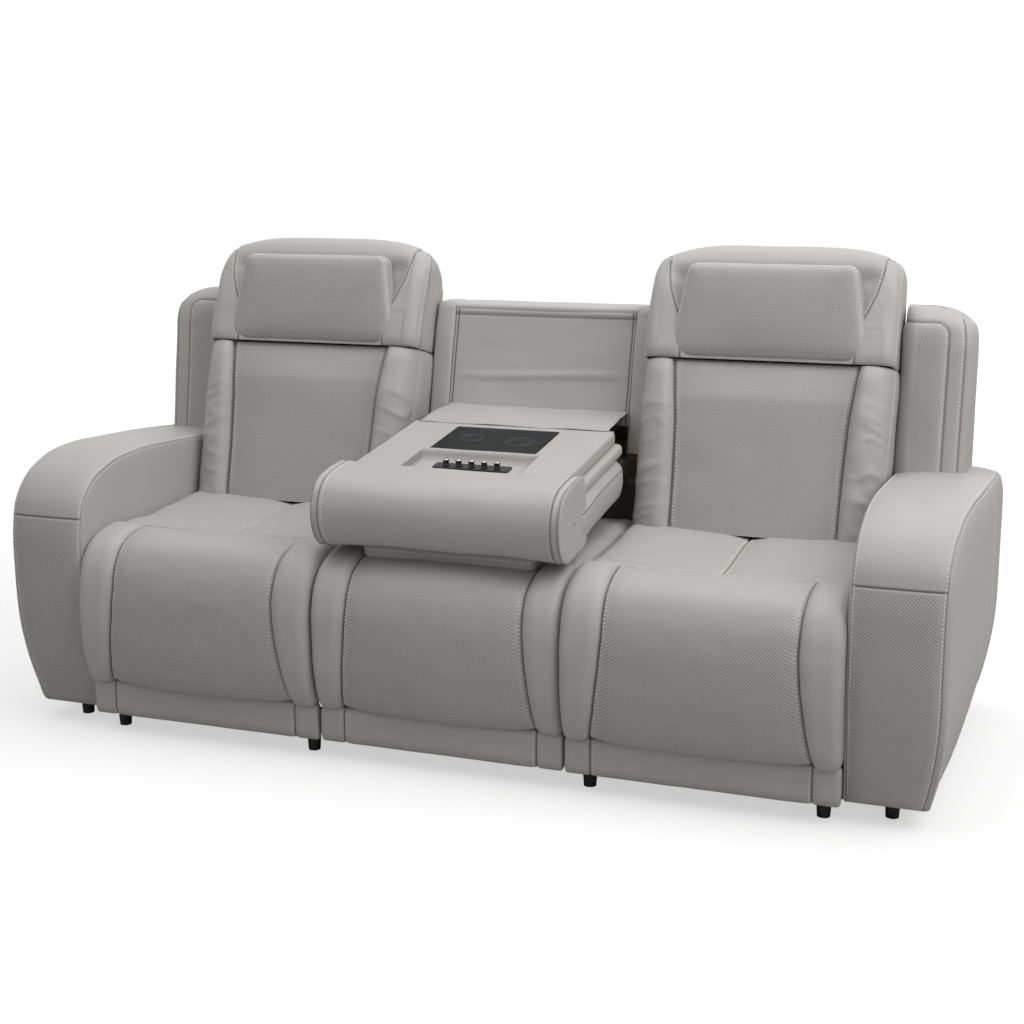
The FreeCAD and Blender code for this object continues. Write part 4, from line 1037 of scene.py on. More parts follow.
class SOFA_OT_heads(bpy.types.Operator):
    """Headrests above the backs, with slanted seams beside the pillow"""
    bl_idname = "sofa.heads"
    bl_label = "Headrests"

    def execute(self, context):
        for k, (name, side) in enumerate(SIDES.items()):
            seed = context.scene.sofa_sizes.seed + 90 + k * 5
            def reach(v):
                half = 0.2955 - 0.024 * np.clip((v - 0.64) / 0.36, 0, 1) ** 2.4
                return -half, half
            def crown(share, v):
                return 0.030 * np.abs(share) ** 4 * ease((v - 0.5) / 0.5)
            block = Block(HEAD_FRONT, HEAD_REAR, reach, 0.036, crown, back_point, head_seam)
            def lift(u, v):
                low = rise(v / 0.08)
                front, gap = u < 1, head_gap(u)
                inner = (u > HEAD_SEAMS[0]) & (u < HEAD_SEAMS[1])
                outer = front & ((u < HEAD_SEAMS[0]) | (u > HEAD_SEAMS[1])) | (u >= 1) & (u < 2) | (u >= 7)
                bolster = np.where(outer, 0.0025, 0.0) * ease((0.75 - v) / 0.3) * rise(np.abs(gap) / 0.06)
                bed = -0.020 * puff(u, *HEAD_SEAMS, 1, 0.06) * ease((0.80 - v) / 0.15) + 0.004
                seams = groove(gap * 0.55, 0.003) * (front & (v < 0.97))
                seams = seams - 0.0025 * sum(bell(u - at, 0.03) for at in HEAD_SIDE_SEAMS)
                soft = ripple(u * 0.6, v * 0.3, (0.11, 0.06), seed) * 0.0018
                fold = creases(u, v * 0.3, (0.2, 0.02), seed + 1) * 0.0012 * (front & (gap > 0))
                return (bolster + np.where(inner, bed, 0) + soft + fold) * low + seams - 0.003 * (1 - low)
            rounds = ring_stops(70, 8, 14, fine=HEAD_SEAMS + HEAD_SIDE_SEAMS)
            skin = Skin(rounds, spread(0, 1, 0.022), block.point, lift, ring=True)
            # Painted shade along the front seams and side seams, and painted shadow in the gap above the
            # back.
            skin.paint_shade(head_gap(skin.uu) * 0.55, where=skin.uu < 1)
            for at in HEAD_SIDE_SEAMS:
                skin.paint_shade((skin.uu - at) * 0.08, 0.6, where=skin.vv < 0.9)
            skin.paint_shade(skin.vv * 0.3, 0.5, 0.003)
            made = skin_object(name + "_head_cover", [skin], side)
            head_hold(made)
            finish_piece(replaces=(name + "_headrest_core",))
            v = np.linspace(0.26, 0.93, 30)
            rows = [stitch_row(skin, at, v) for at in (HEAD_SEAMS[0] + 0.0118, HEAD_SEAMS[1] - 0.0118)]
            v = np.linspace(0.01, 0.93, 60)
            rows += [stitch_row(skin, at, v) for at in (1.80, 7.20)]
            head_hold(stitches(name + "_head_stitches", rows, None, side))
        return {"FINISHED"}


def head_hold(made):
    """On the sofa the lower edge of a head's leather stays on the back while the rest tilts with the
    headrest; here it is only baked in place and attached to no body.
    """
    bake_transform(made)


PILLOW_SECTION = Line((0.1125, 0.004), (0.02, 0.002), (0.006, 0.003), (0.0005, 0.010), (0.0, 0.017),
                      (0.0015, 0.025), (0.006, 0.033), (0.015, 0.0385), (0.030, 0.0415), (0.050, 0.0425),
                      (0.1125, 0.0425))


class SOFA_OT_pillows(bpy.types.Operator):
    """Punched pillows that hang on the headrests"""
    bl_idname = "sofa.pillows"
    bl_label = "Head pillows"

    def execute(self, context):
        half_x, half_y, high = 0.2195, 0.1125, 0.0425
        edge_run, flat = PILLOW_SECTION.near(0.007, 0.034), PILLOW_SECTION.near(0.0015, 0.025)
        def place(a, b, height):
            up = np.clip((b + 0.112) / 0.224, 0, 1)
            thick = mix(0.036, 0.058, up) / high
            crown = 0.009 * np.clip(1 - (a / half_x) ** 2, 0, 1) * np.clip(1 - (b / half_y) ** 2, 0, 1)
            crown = (crown + 0.0008 * ripple(a, b, (0.07, 0.05), 33)) * ease(height / high)
            return back_point(a, mix(0.030, 0.037, up) - height * thick - crown, 0.5105 + b)
        for name, side in SIDES.items():
            skin = cushion(PILLOW_SECTION, half_x, half_y, 0.026, place, ring_stops(48, 8, 24), 0.004,
                           taper=lambda b: 1 - 0.085 * b / half_y)
            # Painted shade on the band round the pillow's side wall.
            skin.paint_shade(skin.vv - flat, 0.5)
            skin.hole_share = ease((skin.vv - edge_run - 0.006) / 0.004)
            skin.chart = (skin.p[..., 0], np.hypot(skin.p[..., 1] - 0.6, skin.p[..., 2] - 0.3))
            made = skin_object(name + "_pillow_cover", [skin], side)
            head_hold(made)
            finish_piece((name + "_headrest_pillow",))
            rows = [stitch_row(skin, np.linspace(1.5, 7.5, 200), edge_run + 0.002)]
            head_hold(stitches(name + "_pillow_stitches", rows, None, side))
        return {"FINISHED"}


SHELL_LINE = Line((0.845, 0.345), (0.868, 0.350), (0.872, 0.40), (0.873, 0.55), (0.872, 0.70), (0.872, 0.90),
                  (0.868, 0.99), (0.860, 1.035), (0.842, 1.056), (0.812, 1.058))


class SOFA_OT_rears(bpy.types.Operator):
    """Leather over the rear of the backs and over the fixed rear panels"""
    bl_idname = "sofa.rears"
    bl_label = "Rear covers"

    def execute(self, context):
        for name, side in SIDES.items():
            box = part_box(name + "_back_shell")
            middle, half = (box[0].x + box[1].x) / 2 * side, (box[1].x - box[0].x) / 2
            rear_cover(name + "_rear_cover", middle, half + 0.001, SHELL_LINE, name + "_back",
                       (name + "_back_shell",), side)
            rear_cover(name + "_low_rear_cover", (0.2965 + ARM_X) / 2, (ARM_X - 0.2985) / 2, low_line(0.330),
                       "frame", (), side, 0)
        rear_cover("middle_rear_cover", 0.0, 0.2825, low_line(0.978), "frame", ("rear_panels",), 1, 0)
        return {"FINISHED"}


def low_line(top):
    return Line((0.850, 0.055), (0.868, 0.0565), (0.875, 0.064), (0.8755, 0.10), (0.8755, top - 0.03),
                (0.875, top - 0.009), (0.868, top), (0.850, top + 0.001))


REAR_SEAM = 0.03


def rear_cover(name, middle, half, line, body, replaces, side, narrow_top=0.044):
    def base(u, v):
        y, z = line.at(v)
        narrow = np.interp(z, [0.80, 0.97, 1.06], [0, 0.55 * narrow_top, narrow_top])
        return middle + across(u, (-half, half), (-half + narrow, half - narrow)), y, z
    def lift(u, v):
        plump = puff(u, -half, half, 0.004, 0.06)
        return plump + rolled(u, half, 0.012) + groove(np.abs(u) - half + REAR_SEAM, 0.0025)
    u = spread(-half - 0.08, half + 0.08, 0.01, fine=(-half + REAR_SEAM, half - REAR_SEAM), reach=0.006)
    u = with_edges(u, half, (0.0005, 0.002, 0.005))
    skin = Skin(u, spread(0, line.length, 0.009), base, lift, flip=True)
    # Painted shade along the rear cover's two seams.
    skin.paint_shade(np.abs(skin.uu) - half + REAR_SEAM, 0.6)
    made = skin_object(name, [skin], side)
    rows = both_rows(skin, half - REAR_SEAM - 0.006, np.linspace(0.02, line.length - 0.02, 60))
    stitches(name + "_stitches", rows, None, side).parent = made
    riding(made, body, replaces=replaces)


class SOFA_OT_centre_back(bpy.types.Operator):
    """The fixed middle back that shows when the console is down"""
    bl_idname = "sofa.centre_back"
    bl_label = "Middle back"

    def execute(self, context):
        half, seam, welt = 0.2405, 0.957, 0.965
        inset = half - 0.008
        def base(u, v):
            return across(u, (-half, half), (-half, half)), panel_y(v) - 0.001, v
        def lift(u, v):
            sag = -0.004 * np.clip(1 - (u / half) ** 2, 0, 1)
            sag = sag * np.sin(math.pi * np.clip((v - 0.73) / 0.25, 0, 1))
            fold = 0.004 * bell(v - 0.812 - 0.006 * np.sin(u * 9), 0.009)
            fold = fold * np.clip(1 - (np.abs(u) / half) ** 4, 0, 1)
            return (0.003 + sag + fold + 0.0035 * bell(v - welt, 0.004)
                    + groove(v - seam, 0.003, 0.002) + 0.0016 * ripple(u, v, (0.10, 0.035), 12)
                    + rolled(u, half, 0.004) + groove(np.abs(u) - inset, 0.0025, 0.002))
        u = spread(-half - 0.006, half + 0.006, 0.008, fine=(-inset, inset), reach=0.006)
        skin = Skin(u, spread(0.70, 0.978, 0.005), base, lift)
        # Painted shade along the panel's side seams and its seam under the top welt.
        skin.paint_shade(np.abs(skin.uu) - inset, 0.9)
        skin.paint_shade(skin.vv - seam, 0.7)
        cover("centre_back_cover", [skin], "frame", ("centre_back_panel",))
        self.border(half)
        return {"FINISHED"}

    def border(self, half):
        """Leather wrapped round the two posts and the top rail."""
        outside, foot, head = 0.2908, 0.635, 0.982
        edge = Line((-0.002, 0.0), (-0.004, 0.10), (-0.004, 0.33), (-0.001, 0.345), (0.006, 0.3485),
                    (0.03, 0.349), (0.09, 0.349), (0.13, 0.345))
        turn = edge.near(0.006, 0.3485)
        skins = []
        for low, high in ((-outside, -half), (half, outside)):
            middle, width = (low + high) / 2, high - low
            def base(u, v):
                dy, z = edge.at(v)
                z = z + foot
                over = mix(panel_y(head), 0.861, np.clip((v - turn) / 0.12, 0, 1))
                y = np.where(v < turn, panel_y(np.minimum(z, head)) + dy, over)
                return across(u, (low, high), (low, high)), y, z
            def lift(u, v):
                bulge = 0.002 * np.cos(np.clip((u - middle) / width, -0.5, 0.5) * math.pi)
                return 0.003 + rolled(u - middle, width / 2, 0.006) + bulge
            u = spread(low - 0.05, high + 0.05, 0.004)
            skins.append(Skin(u, spread(0, edge.length, 0.008), base, lift))
        top = Line((-0.004, 0.968), (-0.0055, 0.974), (-0.004, 0.9805), (0.002, 0.9845), (0.014, 0.9855),
                   (0.08, 0.9855), (0.125, 0.984))
        def rail(u, v):
            dy, z = top.at(v)
            return u, panel_y(0.975) + dy, z
        skins.append(Skin(np.linspace(-half - 0.004, half + 0.004, 60), spread(0, top.length, 0.004), rail,
                          lambda u, v: 0.0006 * ripple(u, v, (0.06, 0.03), 14)))
        cover("centre_back_border", skins, "frame")


# The console that folds down from the middle back

# Half width, rear edge and depth of the tray; half width, front edge and rear edge of the glass
TRAY = (0.141, -0.228, 0.022)
GLASS = (0.132, -0.224, -0.030)


class SOFA_OT_console_top(bpy.types.Operator):
    """Deck of the console with a recess for the knobs, a soft lip and a bed for the glass plate"""
    bl_idname = "sofa.console_top"
    bl_label = "Console deck"

    def execute(self, context):
        half, length = 0.255, 0.361
        x_wall, rear, sunk = TRAY
        u = spread(-half, half, 0.009, fine=(x_wall, -x_wall), fine_step=0.0012, reach=0.006)
        v = spread(-length, 0.0, 0.009, fine=(rear + 0.002,), fine_step=0.0012, reach=0.012)
        def base(u, v):
            return console_point(across(u, (-half, half), (-half, half)), v, 0 * u)
        def lift(u, v):
            wall = ease((x_wall - np.abs(u)) / 0.0022)
            into = 1 - np.sqrt(rise((v - rear + 0.012) / 0.012))
            swell = np.where(v > rear - 0.012, 0.004 * bell(v - rear, 0.010) * wall, 0)
            return -(sunk - 0.001) * wall * into + swell + 0.0006 * ripple(u, v, (0.08, 0.08), 4)
        top = Skin(u, v, base, lift)
        # Painted shade along the walls of the knob recess.
        top.paint_shade(np.abs(np.abs(top.uu) - x_wall), 0.55, 0.002, where=top.vv < rear)
        rim = side_band(half, length, ((0.0, 0.0), (0.0022, -0.0012), (0.0036, -0.005), (0.004, -0.012),
                                       (0.0036, -0.022), (0.001, -0.0285), (-0.012, -0.0295)))
        cover("console_deck_cover", [top, rim], "console", ("console_deck",))
        lower = side_band(half + 0.012, length, (
            (-0.03, -0.0300), (0.000, -0.0301), (0.0060, -0.0315), (0.0085, -0.036), (0.0090, -0.044),
            (0.0080, -0.051), (0.003, -0.0545), (-0.03, -0.055)))
        cover("console_border", [lower], "console")
        return {"FINISHED"}


def side_band(half, length, outline, corner=0.014):
    """A band round the console's two sides and its rear, from (outset, height) points. Its
    stretches 0 to 1, 2 to 3 and 4 to 5 are straight, and 1 to 2 and 3 to 4 are the corners."""
    line = Line(*outline)
    runs = np.r_[np.linspace(0, 1, 30), 1 + np.linspace(0.1, 1, 8), 2 + np.linspace(0.04, 1, 30),
                 3 + np.linspace(0.1, 1, 8), 4 + np.linspace(0.05, 1, 30)]
    side = half - corner
    def base(u, v):
        out, z = line.at(v)
        turn = np.interp(u, [1, 2, 3, 4], [0, math.pi / 2, math.pi / 2, math.pi])
        x = np.interp(u, [2, 3], [side, -side]) + (corner + out) * np.cos(turn)
        y = np.interp(u, [0, 1, 4, 5], [-length, -corner, -corner, -length]) + (corner + out) * np.sin(turn)
        return console_point(x, y, z)
    return Skin(runs, spread(0, line.length, 0.0025), base, flip=True)


CUSHION_SECTION = Line((0.1885, -0.1545), (0.10, -0.1565), (0.03, -0.1550), (0.010, -0.150),
                       (0.0015, -0.138), (-0.0045, -0.118), (-0.0065, -0.100), (-0.0060, -0.086),
                       (-0.0040, -0.0755), (0.0015, -0.0650), (0.011, -0.0575), (0.024, -0.0545),
                       (0.045, -0.0535), (0.10, -0.053))


class SOFA_OT_console_cushion(bpy.types.Operator):
    """Padded body of the console: its sides when it is down, a middle back when it is up"""
    bl_idname = "sofa.console_cushion"
    bl_label = "Console cushion"

    def execute(self, context):
        middle_y, half_y = -0.2145, 0.1885
        piping = CUSHION_SECTION.near(-0.0045, -0.077)
        under = CUSHION_SECTION.near(0.03, -0.155)
        def place(x, y, z):
            return console_point(x, middle_y + y, z)
        def lift(u, v):
            side = np.minimum(np.abs(u - 2.5), np.abs(u - 6.5)) < 1.2
            front = bell(u - 2.22, 0.13) + bell(u - 6.78, 0.13)
            pleat = 0.0022 * np.sin(u * 95) * front * bell(v - under - 0.09, 0.04)
            seams = 0.0012 * bell(v - piping - 0.0028, 0.0018)
            seams = seams + groove(v - piping, 0.0018, 0.0014) + groove(v - under, 0.003)
            return (pleat * side + seams + 0.0016 * ripple(u, v, (0.5, 0.05), 8)
                    + 0.0010 * creases(u, v, (0.25, 0.03), 9))
        skin = cushion(CUSHION_SECTION, 0.2825, half_y, 0.030, place, ring_stops(44, 8, 60), 0.005,
                       taper=lambda y: 1 + 0.018 * ease((-y - 0.02) / 0.12), lift=lift, fine=(piping, under))
        # Painted shade along the piping and the seam underneath.
        skin.paint_shade(skin.vv - piping, 0.8, 0.0014)
        skin.paint_shade(skin.vv - under, 0.7)
        cover("console_cushion_cover", [skin], "console", ("console_cushion",))
        rows = [stitch_row(skin, np.linspace(0, 8, 400), under - 0.007)]
        stitches("console_cushion_stitches", rows, "console")
        return {"FINISHED"}


BOLSTER_LOOP = ((-0.440, -0.1580), (-0.480, -0.1545), (-0.512, -0.138), (-0.5300, -0.109), (-0.5350, -0.076),
                (-0.5300, -0.044), (-0.512, -0.016), (-0.482, 0.001), (-0.440, 0.0075), (-0.400, 0.0075),
                (-0.366, 0.004), (-0.351, -0.003), (-0.3475, -0.018), (-0.3475, -0.068), (-0.3475, -0.135),
                (-0.353, -0.150), (-0.372, -0.156), (-0.405, -0.158), (-0.440, -0.1580))
BOLSTER_HALF = 0.2905


class SOFA_OT_bolster(bpy.types.Operator):
    """Big roll across the console's end, with two seams near each gathered end"""
    bl_idname = "sofa.bolster"
    bl_label = "Console roll"

    def execute(self, context):
        loop = Line(*BOLSTER_LOOP)
        inner, outer = 0.2695, 0.2855
        cy, cz, rounding = -0.440, -0.076, 0.018
        def base(u, v):
            y, z = loop.at(v % loop.length)
            beyond = np.abs(u) - outer
            turn, inward = np.clip(beyond / rounding, 0, 1), np.clip((beyond - rounding) / 0.1, 0, 1)
            x = np.minimum(np.abs(u), outer) + (BOLSTER_HALF - outer) * np.sqrt(rise(turn))
            scale = 1 - np.clip(turn ** 2 * 0.13 + inward, 0, 0.999)
            x = np.sign(u) * (x + 0.001 * inward)
            return console_point(x, mix(cy, y, scale), mix(cz, z, scale))
        def lift(u, v):
            a = np.abs(u)
            ring = 0.0012 * bell(a - (inner + outer) / 2, 0.0060)
            belly = 0.003 * np.clip(1 - (a / 0.26) ** 4, 0, 1)
            pucker = np.clip(ripple(0 * u, v % loop.length, (1.0, 0.010), 19), -0.4, 1)
            cap = np.where(a > outer, 0.0014 * pucker * bell(a - outer - 0.016, 0.012), 0)
            fade = np.clip(1 - (a - outer) / 0.03, 0, 1)
            soft = 0.0014 * ripple(u, v, (0.09, 0.05), 17)
            return (ring + belly + (cap + soft) * fade + groove(a - inner, 0.0035, 0.0024)
                    + groove(a - outer, 0.003, 0.0020))
        beside = np.r_[0.002, 0.004, 0.007, 0.010, 0.014, 0.018, 0.024, 0.035, 0.05, 0.07, 0.09, 0.11, 0.118]
        u = spread(-outer, outer, 0.009, fine=(-outer, -inner, inner, outer), reach=0.006)
        u = np.unique(np.round(np.r_[-outer - beside, u, outer + beside], 6))
        skin = Skin(u, np.linspace(0, loop.length, 170), base, lift, flip=True)
        a = np.abs(skin.uu)
        # Painted shade along the roll's seams near each end.
        skin.paint_shade(a - inner)
        skin.paint_shade(a - outer, 0.6, 0.0013)
        cover("console_bolster_cover", [skin], "console", ("console_bolster",))
        v = np.linspace(0.0, loop.length, 400)
        rows = [stitch_row(skin, s * at, v) for s in (-1, 1) for at in (inner - 0.0070, inner + 0.0070)]
        stitches("console_bolster_stitches", rows, "console")
        return {"FINISHED"}


PAD_SECTION = Line((0.1085, -0.1560), (0.02, -0.1560), (0.004, -0.1590), (0.0, -0.168), (0.0, -0.178),
                   (0.003, -0.188), (0.011, -0.1925), (0.03, -0.193), (0.06, -0.193), (0.1085, -0.193))


class SOFA_OT_head_pad(bpy.types.Operator):
    """Thin pad under the roll, which is the middle head pad when the console is up"""
    bl_idname = "sofa.head_pad"
    bl_label = "Console head pad"

    def execute(self, context):
        band = PAD_SECTION.near(0.03, -0.193)
        def place(x, y, z):
            return console_point(x, -0.3560 + y, z)
        skin = cushion(PAD_SECTION, 0.2060, 0.1085, 0.024, place, ring_stops(44, 8, 26), 0.003,
                       lift=lambda u, v: groove(v - band, 0.002, 0.002))
        skin.turn = -1.0
        skin.measure()
        # Painted shade along the pad's seam band.
        skin.paint_shade(skin.vv - band, 0.6)
        cover("console_head_pad_cover", [skin], "console", ("console_head_pad",))
        u = np.linspace(0, 8, 400)
        rows = [stitch_row(skin, u, PAD_SECTION.near(0.0, at)) for at in (-0.1665, -0.1795)]
        rows.append(stitch_row(skin, u, band - 0.006))
        stitches("console_head_pad_stitches", rows, "console")
        return {"FINISHED"}


class SOFA_OT_glass(bpy.types.Operator):
    """Dark glass charging plate with two coil marks"""
    bl_idname = "sofa.glass"
    bl_label = "Charging plate"

    def execute(self, context):
        half, front, rear = GLASS
        middle, half_y = (front + rear) / 2, (rear - front) / 2
        high = 0.0013
        section = Line((0.09, -0.0030), (0.004, -0.0030), (0.0008, -0.0024), (0.0, -0.001), (0.0004, 0.0006),
                       (0.0014, 0.0012), (0.004, high), (0.05, high), (0.097, high))
        def place(x, y, z):
            return console_point(x, middle + y, z)
        skin = cushion(section, half, half_y, 0.006, place, ring_stops(16, 6, 12), 0.006)
        made = skin_object("charging_glass", [skin], materials=("smoked glass",))
        riding(made, "console", replaces=("charging_plate",))
        turn = np.linspace(0, 2 * math.pi, 97)[:-1]
        c, s = np.cos(turn), np.sin(turn)
        loops = [(x + radius * c, y + radius * s, 0.0006)
                 for x, y, radii in ((-0.060, middle + 0.008, (0.030, 0.0235)),
                                     (0.062, middle - 0.004, (0.034, 0.027))) for radius in radii]
        loops.append((-0.045 + 0.016 * np.sign(c) + 0.006 * c, rear - 0.018 + 0.006 * s, 0.0005))
        up = np.tile(np.subtract(console_point(0, 0, 1), console_point(0, 0, 0)), (len(turn), 1))
        marks = [tube(np.stack(console_point(x, y, 0 * turn + high), -1), up, r) for x, y, r in loops]
        faces = [[i + k * len(p) for i in face] for k, (p, ring) in enumerate(marks) for face in ring]
        verts = np.concatenate([p for p, ring in marks])
        made = new_object("charging_marks", verts, faces, ("glass marks",))
        riding(made, "console")
        return {"FINISHED"}


KNOB_PROFILE = ((0.0, 0.0), (0.0072, 0.0), (0.0076, 0.0006), (0.0074, 0.0022), (0.0068, 0.0030),
                (0.0066, 0.0120), (0.0070, 0.0124), (0.0072, 0.0132), (0.0071, 0.0142), (0.0066, 0.0150))
KNOB_TOP = ((0.0066, 0.0148), (0.0064, 0.0156), (0.0058, 0.0160), (0.0040, 0.0159), (0.0, 0.0158))


KNOB_ROW_Y = -0.285
KNOB_LOW = -TRAY[2] + 0.005


def lathe(profile, x, ribs, depth=0.03, steps=96):
    """A turned and ribbed shape that stands in the console's row of knobs, at a given x."""
    turn = np.linspace(0, 2 * math.pi, steps, endpoint=False)
    p = np.array(profile)
    r = p[:, :1] * (1 - depth * (np.sin(turn * ribs) > 0.3) * (p[:, :1] > 0.006) * (p[:, 1:] > 0.003))
    x, y, z = x + r * np.cos(turn), KNOB_ROW_Y + r * np.sin(turn), KNOB_LOW + p[:, 1:] + 0 * turn
    return np.stack(console_point(x, y, z), -1).reshape(-1, 3), ring_faces(len(p), steps)


class SOFA_OT_knobs(bpy.types.Operator):
    """Five ribbed knobs with bright caps"""
    bl_idname = "sofa.knobs"
    bl_label = "Knobs"

    def execute(self, context):
        for k in range(1, 6):
            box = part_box(f"knob_{k}")
            for part, profile, material, ribs, replaces in (
                    ("body", KNOB_PROFILE, "knob black", 24, (f"knob_{k}",)),
                    ("cap", KNOB_TOP, "bright cap", 0, ())):
                verts, faces = lathe(profile, (box[0].x + box[1].x) / 2, ribs)
                made = new_object(f"knob_{k}_{part}_turned", verts, faces, (material,))
                riding(made, f"knob_{k}_body", replaces=replaces)
        return {"FINISHED"}


class SOFA_OT_flap(bpy.types.Operator):
    """Leather flap that bridges from the middle back to the console"""
    bl_idname = "sofa.flap"
    bl_label = "Bridge flap"

    def execute(self, context):
        line = Line((0.699, 0.7345), (0.690, 0.7328), (0.672, 0.7305), (0.62, 0.7275), (0.56, 0.7215),
                    (0.520, 0.7170), (0.505, 0.7148))
        def base(u, v):
            y, z = line.at(v)
            return u * mix(0.238, 0.2425, v / line.length), y, z
        def lift(u, v):
            return (0.0016 * ripple(u, v, (0.4, 0.03), 3) + 0.0008 * ripple(u, v, (0.12, 0.2), 6)
                    + 0.0014 * np.sin(math.pi * np.clip(v / line.length, 0, 1)))
        skin = Skin(np.linspace(-1, 1, 60), spread(0, line.length, 0.006), base, lift, flip=True)
        made = skin_object("bridge_flap_leather", [skin], materials=("plain hide",))
        thick = made.modifiers.new("Thickness", "SOLIDIFY")
        thick.thickness = 0.0016
        thick.offset = 0
        bpy.context.view_layer.objects.active = made
        with bpy.context.temp_override(object=made, active_object=made, selected_objects=[made]):
            bpy.ops.object.modifier_apply(modifier=thick.name)
        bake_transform(made)
        finish_piece(replaces=("console_bridge_flap",))
        return {"FINISHED"}


FINISHES = {"plywood": "bare plywood", "webbing": "woven webbing", "steel": "satin steel",
            "black_plastic": "matt plastic", "dark_glass": "smoked glass", "knob": "knob black",
            "leather": "plain hide", "leather_perforated": "plain hide"}


class SOFA_OT_finishes(bpy.types.Operator):
    """Materials of the sofa, and of every part of the frame that stays in sight"""
    bl_idname = "sofa.finishes"
    bl_label = "Finishes"

    def execute(self, context):
        colours = context.scene.sofa_colours
        build_grain()
        build_holes()
        build_leather("plain hide", False)
        build_leather("punched hide", True)
        build_wood()
        build_flecked("sewing thread", colours.thread, 0.75, 900.0, 0.0002)
        build_woven("woven webbing", colours.webbing, 0.004)
        build_flecked("satin steel", colours.steel, 0.38, 320.0, 0.0001, Metallic=1.0)
        build_flecked("matt plastic", colours.plastic, 0.5, 600.0, 0.0001)
        build_flecked("knob black", colours.plastic, 0.28, 500.0, 0.00004)
        build_flecked("bright cap", colours.cap, 0.14, 500.0, 0.00003, Metallic=1.0)
        build_flecked("smoked glass", colours.glass, 0.22, 40.0, 0.00001, Specular_IOR_Level=0.05)
        build_flecked("glass marks", colours.mark, 0.3, 300.0, 0.00002)
        slots = {part["node"]: part["material_slot"] for part in frame["record"]["subparts"]}
        for name, made in frame["nodes"].items():
            made.data.materials.clear()
            made.data.materials.append(bpy.data.materials[FINISHES[slots[name]]])
        return {"FINISHED"}


class SOFA_OT_stage(bpy.types.Operator):
    """Pale floor, soft studio light and the camera"""
    bl_idname = "sofa.stage"
    bl_label = "Stage"

    def execute(self, context):
        scene, colours = context.scene, context.scene.sofa_colours
        mesh = bpy.data.meshes.new("floor")
        mesh.from_pydata([(-14, -14, 0), (14, -14, 0), (14, 14, 0), (-14, 14, 0)], [], [(0, 1, 2, 3)])
        floor = bpy.data.objects.new("floor", mesh)
        scene.collection.objects.link(floor)
        tree, shader = new_material("pale floor", colours.floor, 0.9, Specular_IOR_Level=0.1)
        seen = node(tree, "ShaderNodeLightPath").outputs["Is Camera Ray"]
        away = vector_maths(tree, "LENGTH", node(tree, "ShaderNodeTexCoord").outputs["Object"])
        far = node(tree, "ShaderNodeMapRange", {"Value": away, "From Min": 1.5, "From Max": 5.0,
                                                "To Min": 0.57, "To Max": 0.85},
                   interpolation_type="SMOOTHSTEP")
        shader.inputs["Emission Color"].default_value = (1, 1, 1, 1)
        tree.links.new(maths(tree, "MULTIPLY", seen, far.outputs[0]), shader.inputs["Emission Strength"])
        mesh.materials.append(bpy.data.materials["pale floor"])
        self.world(scene)
        for label, place, target, size, power in (
                ("key light", (2.9, -0.9, 3.2), (0.2, 0.0, 0.5), (3.0, 3.0), 72.0),
                ("top light", (-0.2, 0.1, 3.8), (0.0, 0.0, 0.4), (4.5, 2.5), 55.0)):
            lamp = bpy.data.lights.new(label, "AREA")
            lamp.shape, lamp.size, lamp.size_y, lamp.energy = "RECTANGLE", *size, power
            holder = bpy.data.objects.new(label, lamp)
            holder.location = place
            holder.rotation_euler = (Vector(target) - Vector(place)).to_track_quat("-Z", "Y").to_euler()
            scene.collection.objects.link(holder)
        lens = bpy.data.cameras.new("camera")
        lens.lens, lens.sensor_width = 56.81, 36.0
        camera = bpy.data.objects.new("camera", lens)
        camera.location = (1.3025, -3.5932, 1.3371)
        camera.rotation_euler = (math.radians(90 - 12.184), 0, math.radians(19.69))
        scene.collection.objects.link(camera)
        scene.camera = camera
        scene.view_settings.view_transform = "Standard"
        return {"FINISHED"}

    def world(self, scene):
        world = bpy.data.worlds.new("studio")
        scene.world = world
        world.use_nodes = True
        tree = world.node_tree
        tree.nodes.clear()
        path = node(tree, "ShaderNodeLightPath").outputs
        seen = maths(tree, "MAXIMUM", path["Is Camera Ray"], path["Is Glossy Ray"])
        seen = maths(tree, "MAXIMUM", seen, path["Is Transmission Ray"])
        sky = node(tree, "ShaderNodeTexCoord").outputs["Generated"]
        height = node(tree, "ShaderNodeSeparateXYZ", {0: sky}).outputs[2]
        level = node(tree, "ShaderNodeMapRange", {"Value": height, "From Min": -0.1, "From Max": 0.9,
                                                  "To Min": 0.14, "To Max": 0.55}).outputs[0]
        strength = node(tree, "ShaderNodeMix", {0: seen, 2: level, 3: 1.0}).outputs[0]
        shade = node(tree, "ShaderNodeBackground", {"Color": (1, 1, 1, 1), "Strength": strength})
        node(tree, "ShaderNodeOutputWorld", {"Surface": shade.outputs[0]})


# Sizes, colours and the add-on's panel

def metres(name, description, default, low, high):
    return FloatProperty(name=name, description=description, default=default, min=low, max=high,
                         subtype="DISTANCE", unit="LENGTH", precision=4)


def colour(name, description, default):
    return FloatVectorProperty(name=name, description=description, default=default, size=3, min=0, max=1,
                               subtype="COLOR")


class SOFA_PG_sizes(bpy.types.PropertyGroup):
    stitch_pitch: metres("Stitch pitch", "Distance from one stitch to the next", 0.0086, 0.003, 0.02)
    stitch_length: metres("Stitch length", "Length of thread that shows in one stitch", 0.0062, 0.002, 0.015)
    thread_radius: metres("Thread radius", "Half the thickness of the sewing thread", 0.0013, 0.0003, 0.003)
    hole_pitch: metres("Hole pitch", "Distance between rows of punched holes", 0.0056, 0.002, 0.02)
    seed: IntProperty(name="Wrinkle seed", description="Chooses the pattern of wrinkles", default=3)


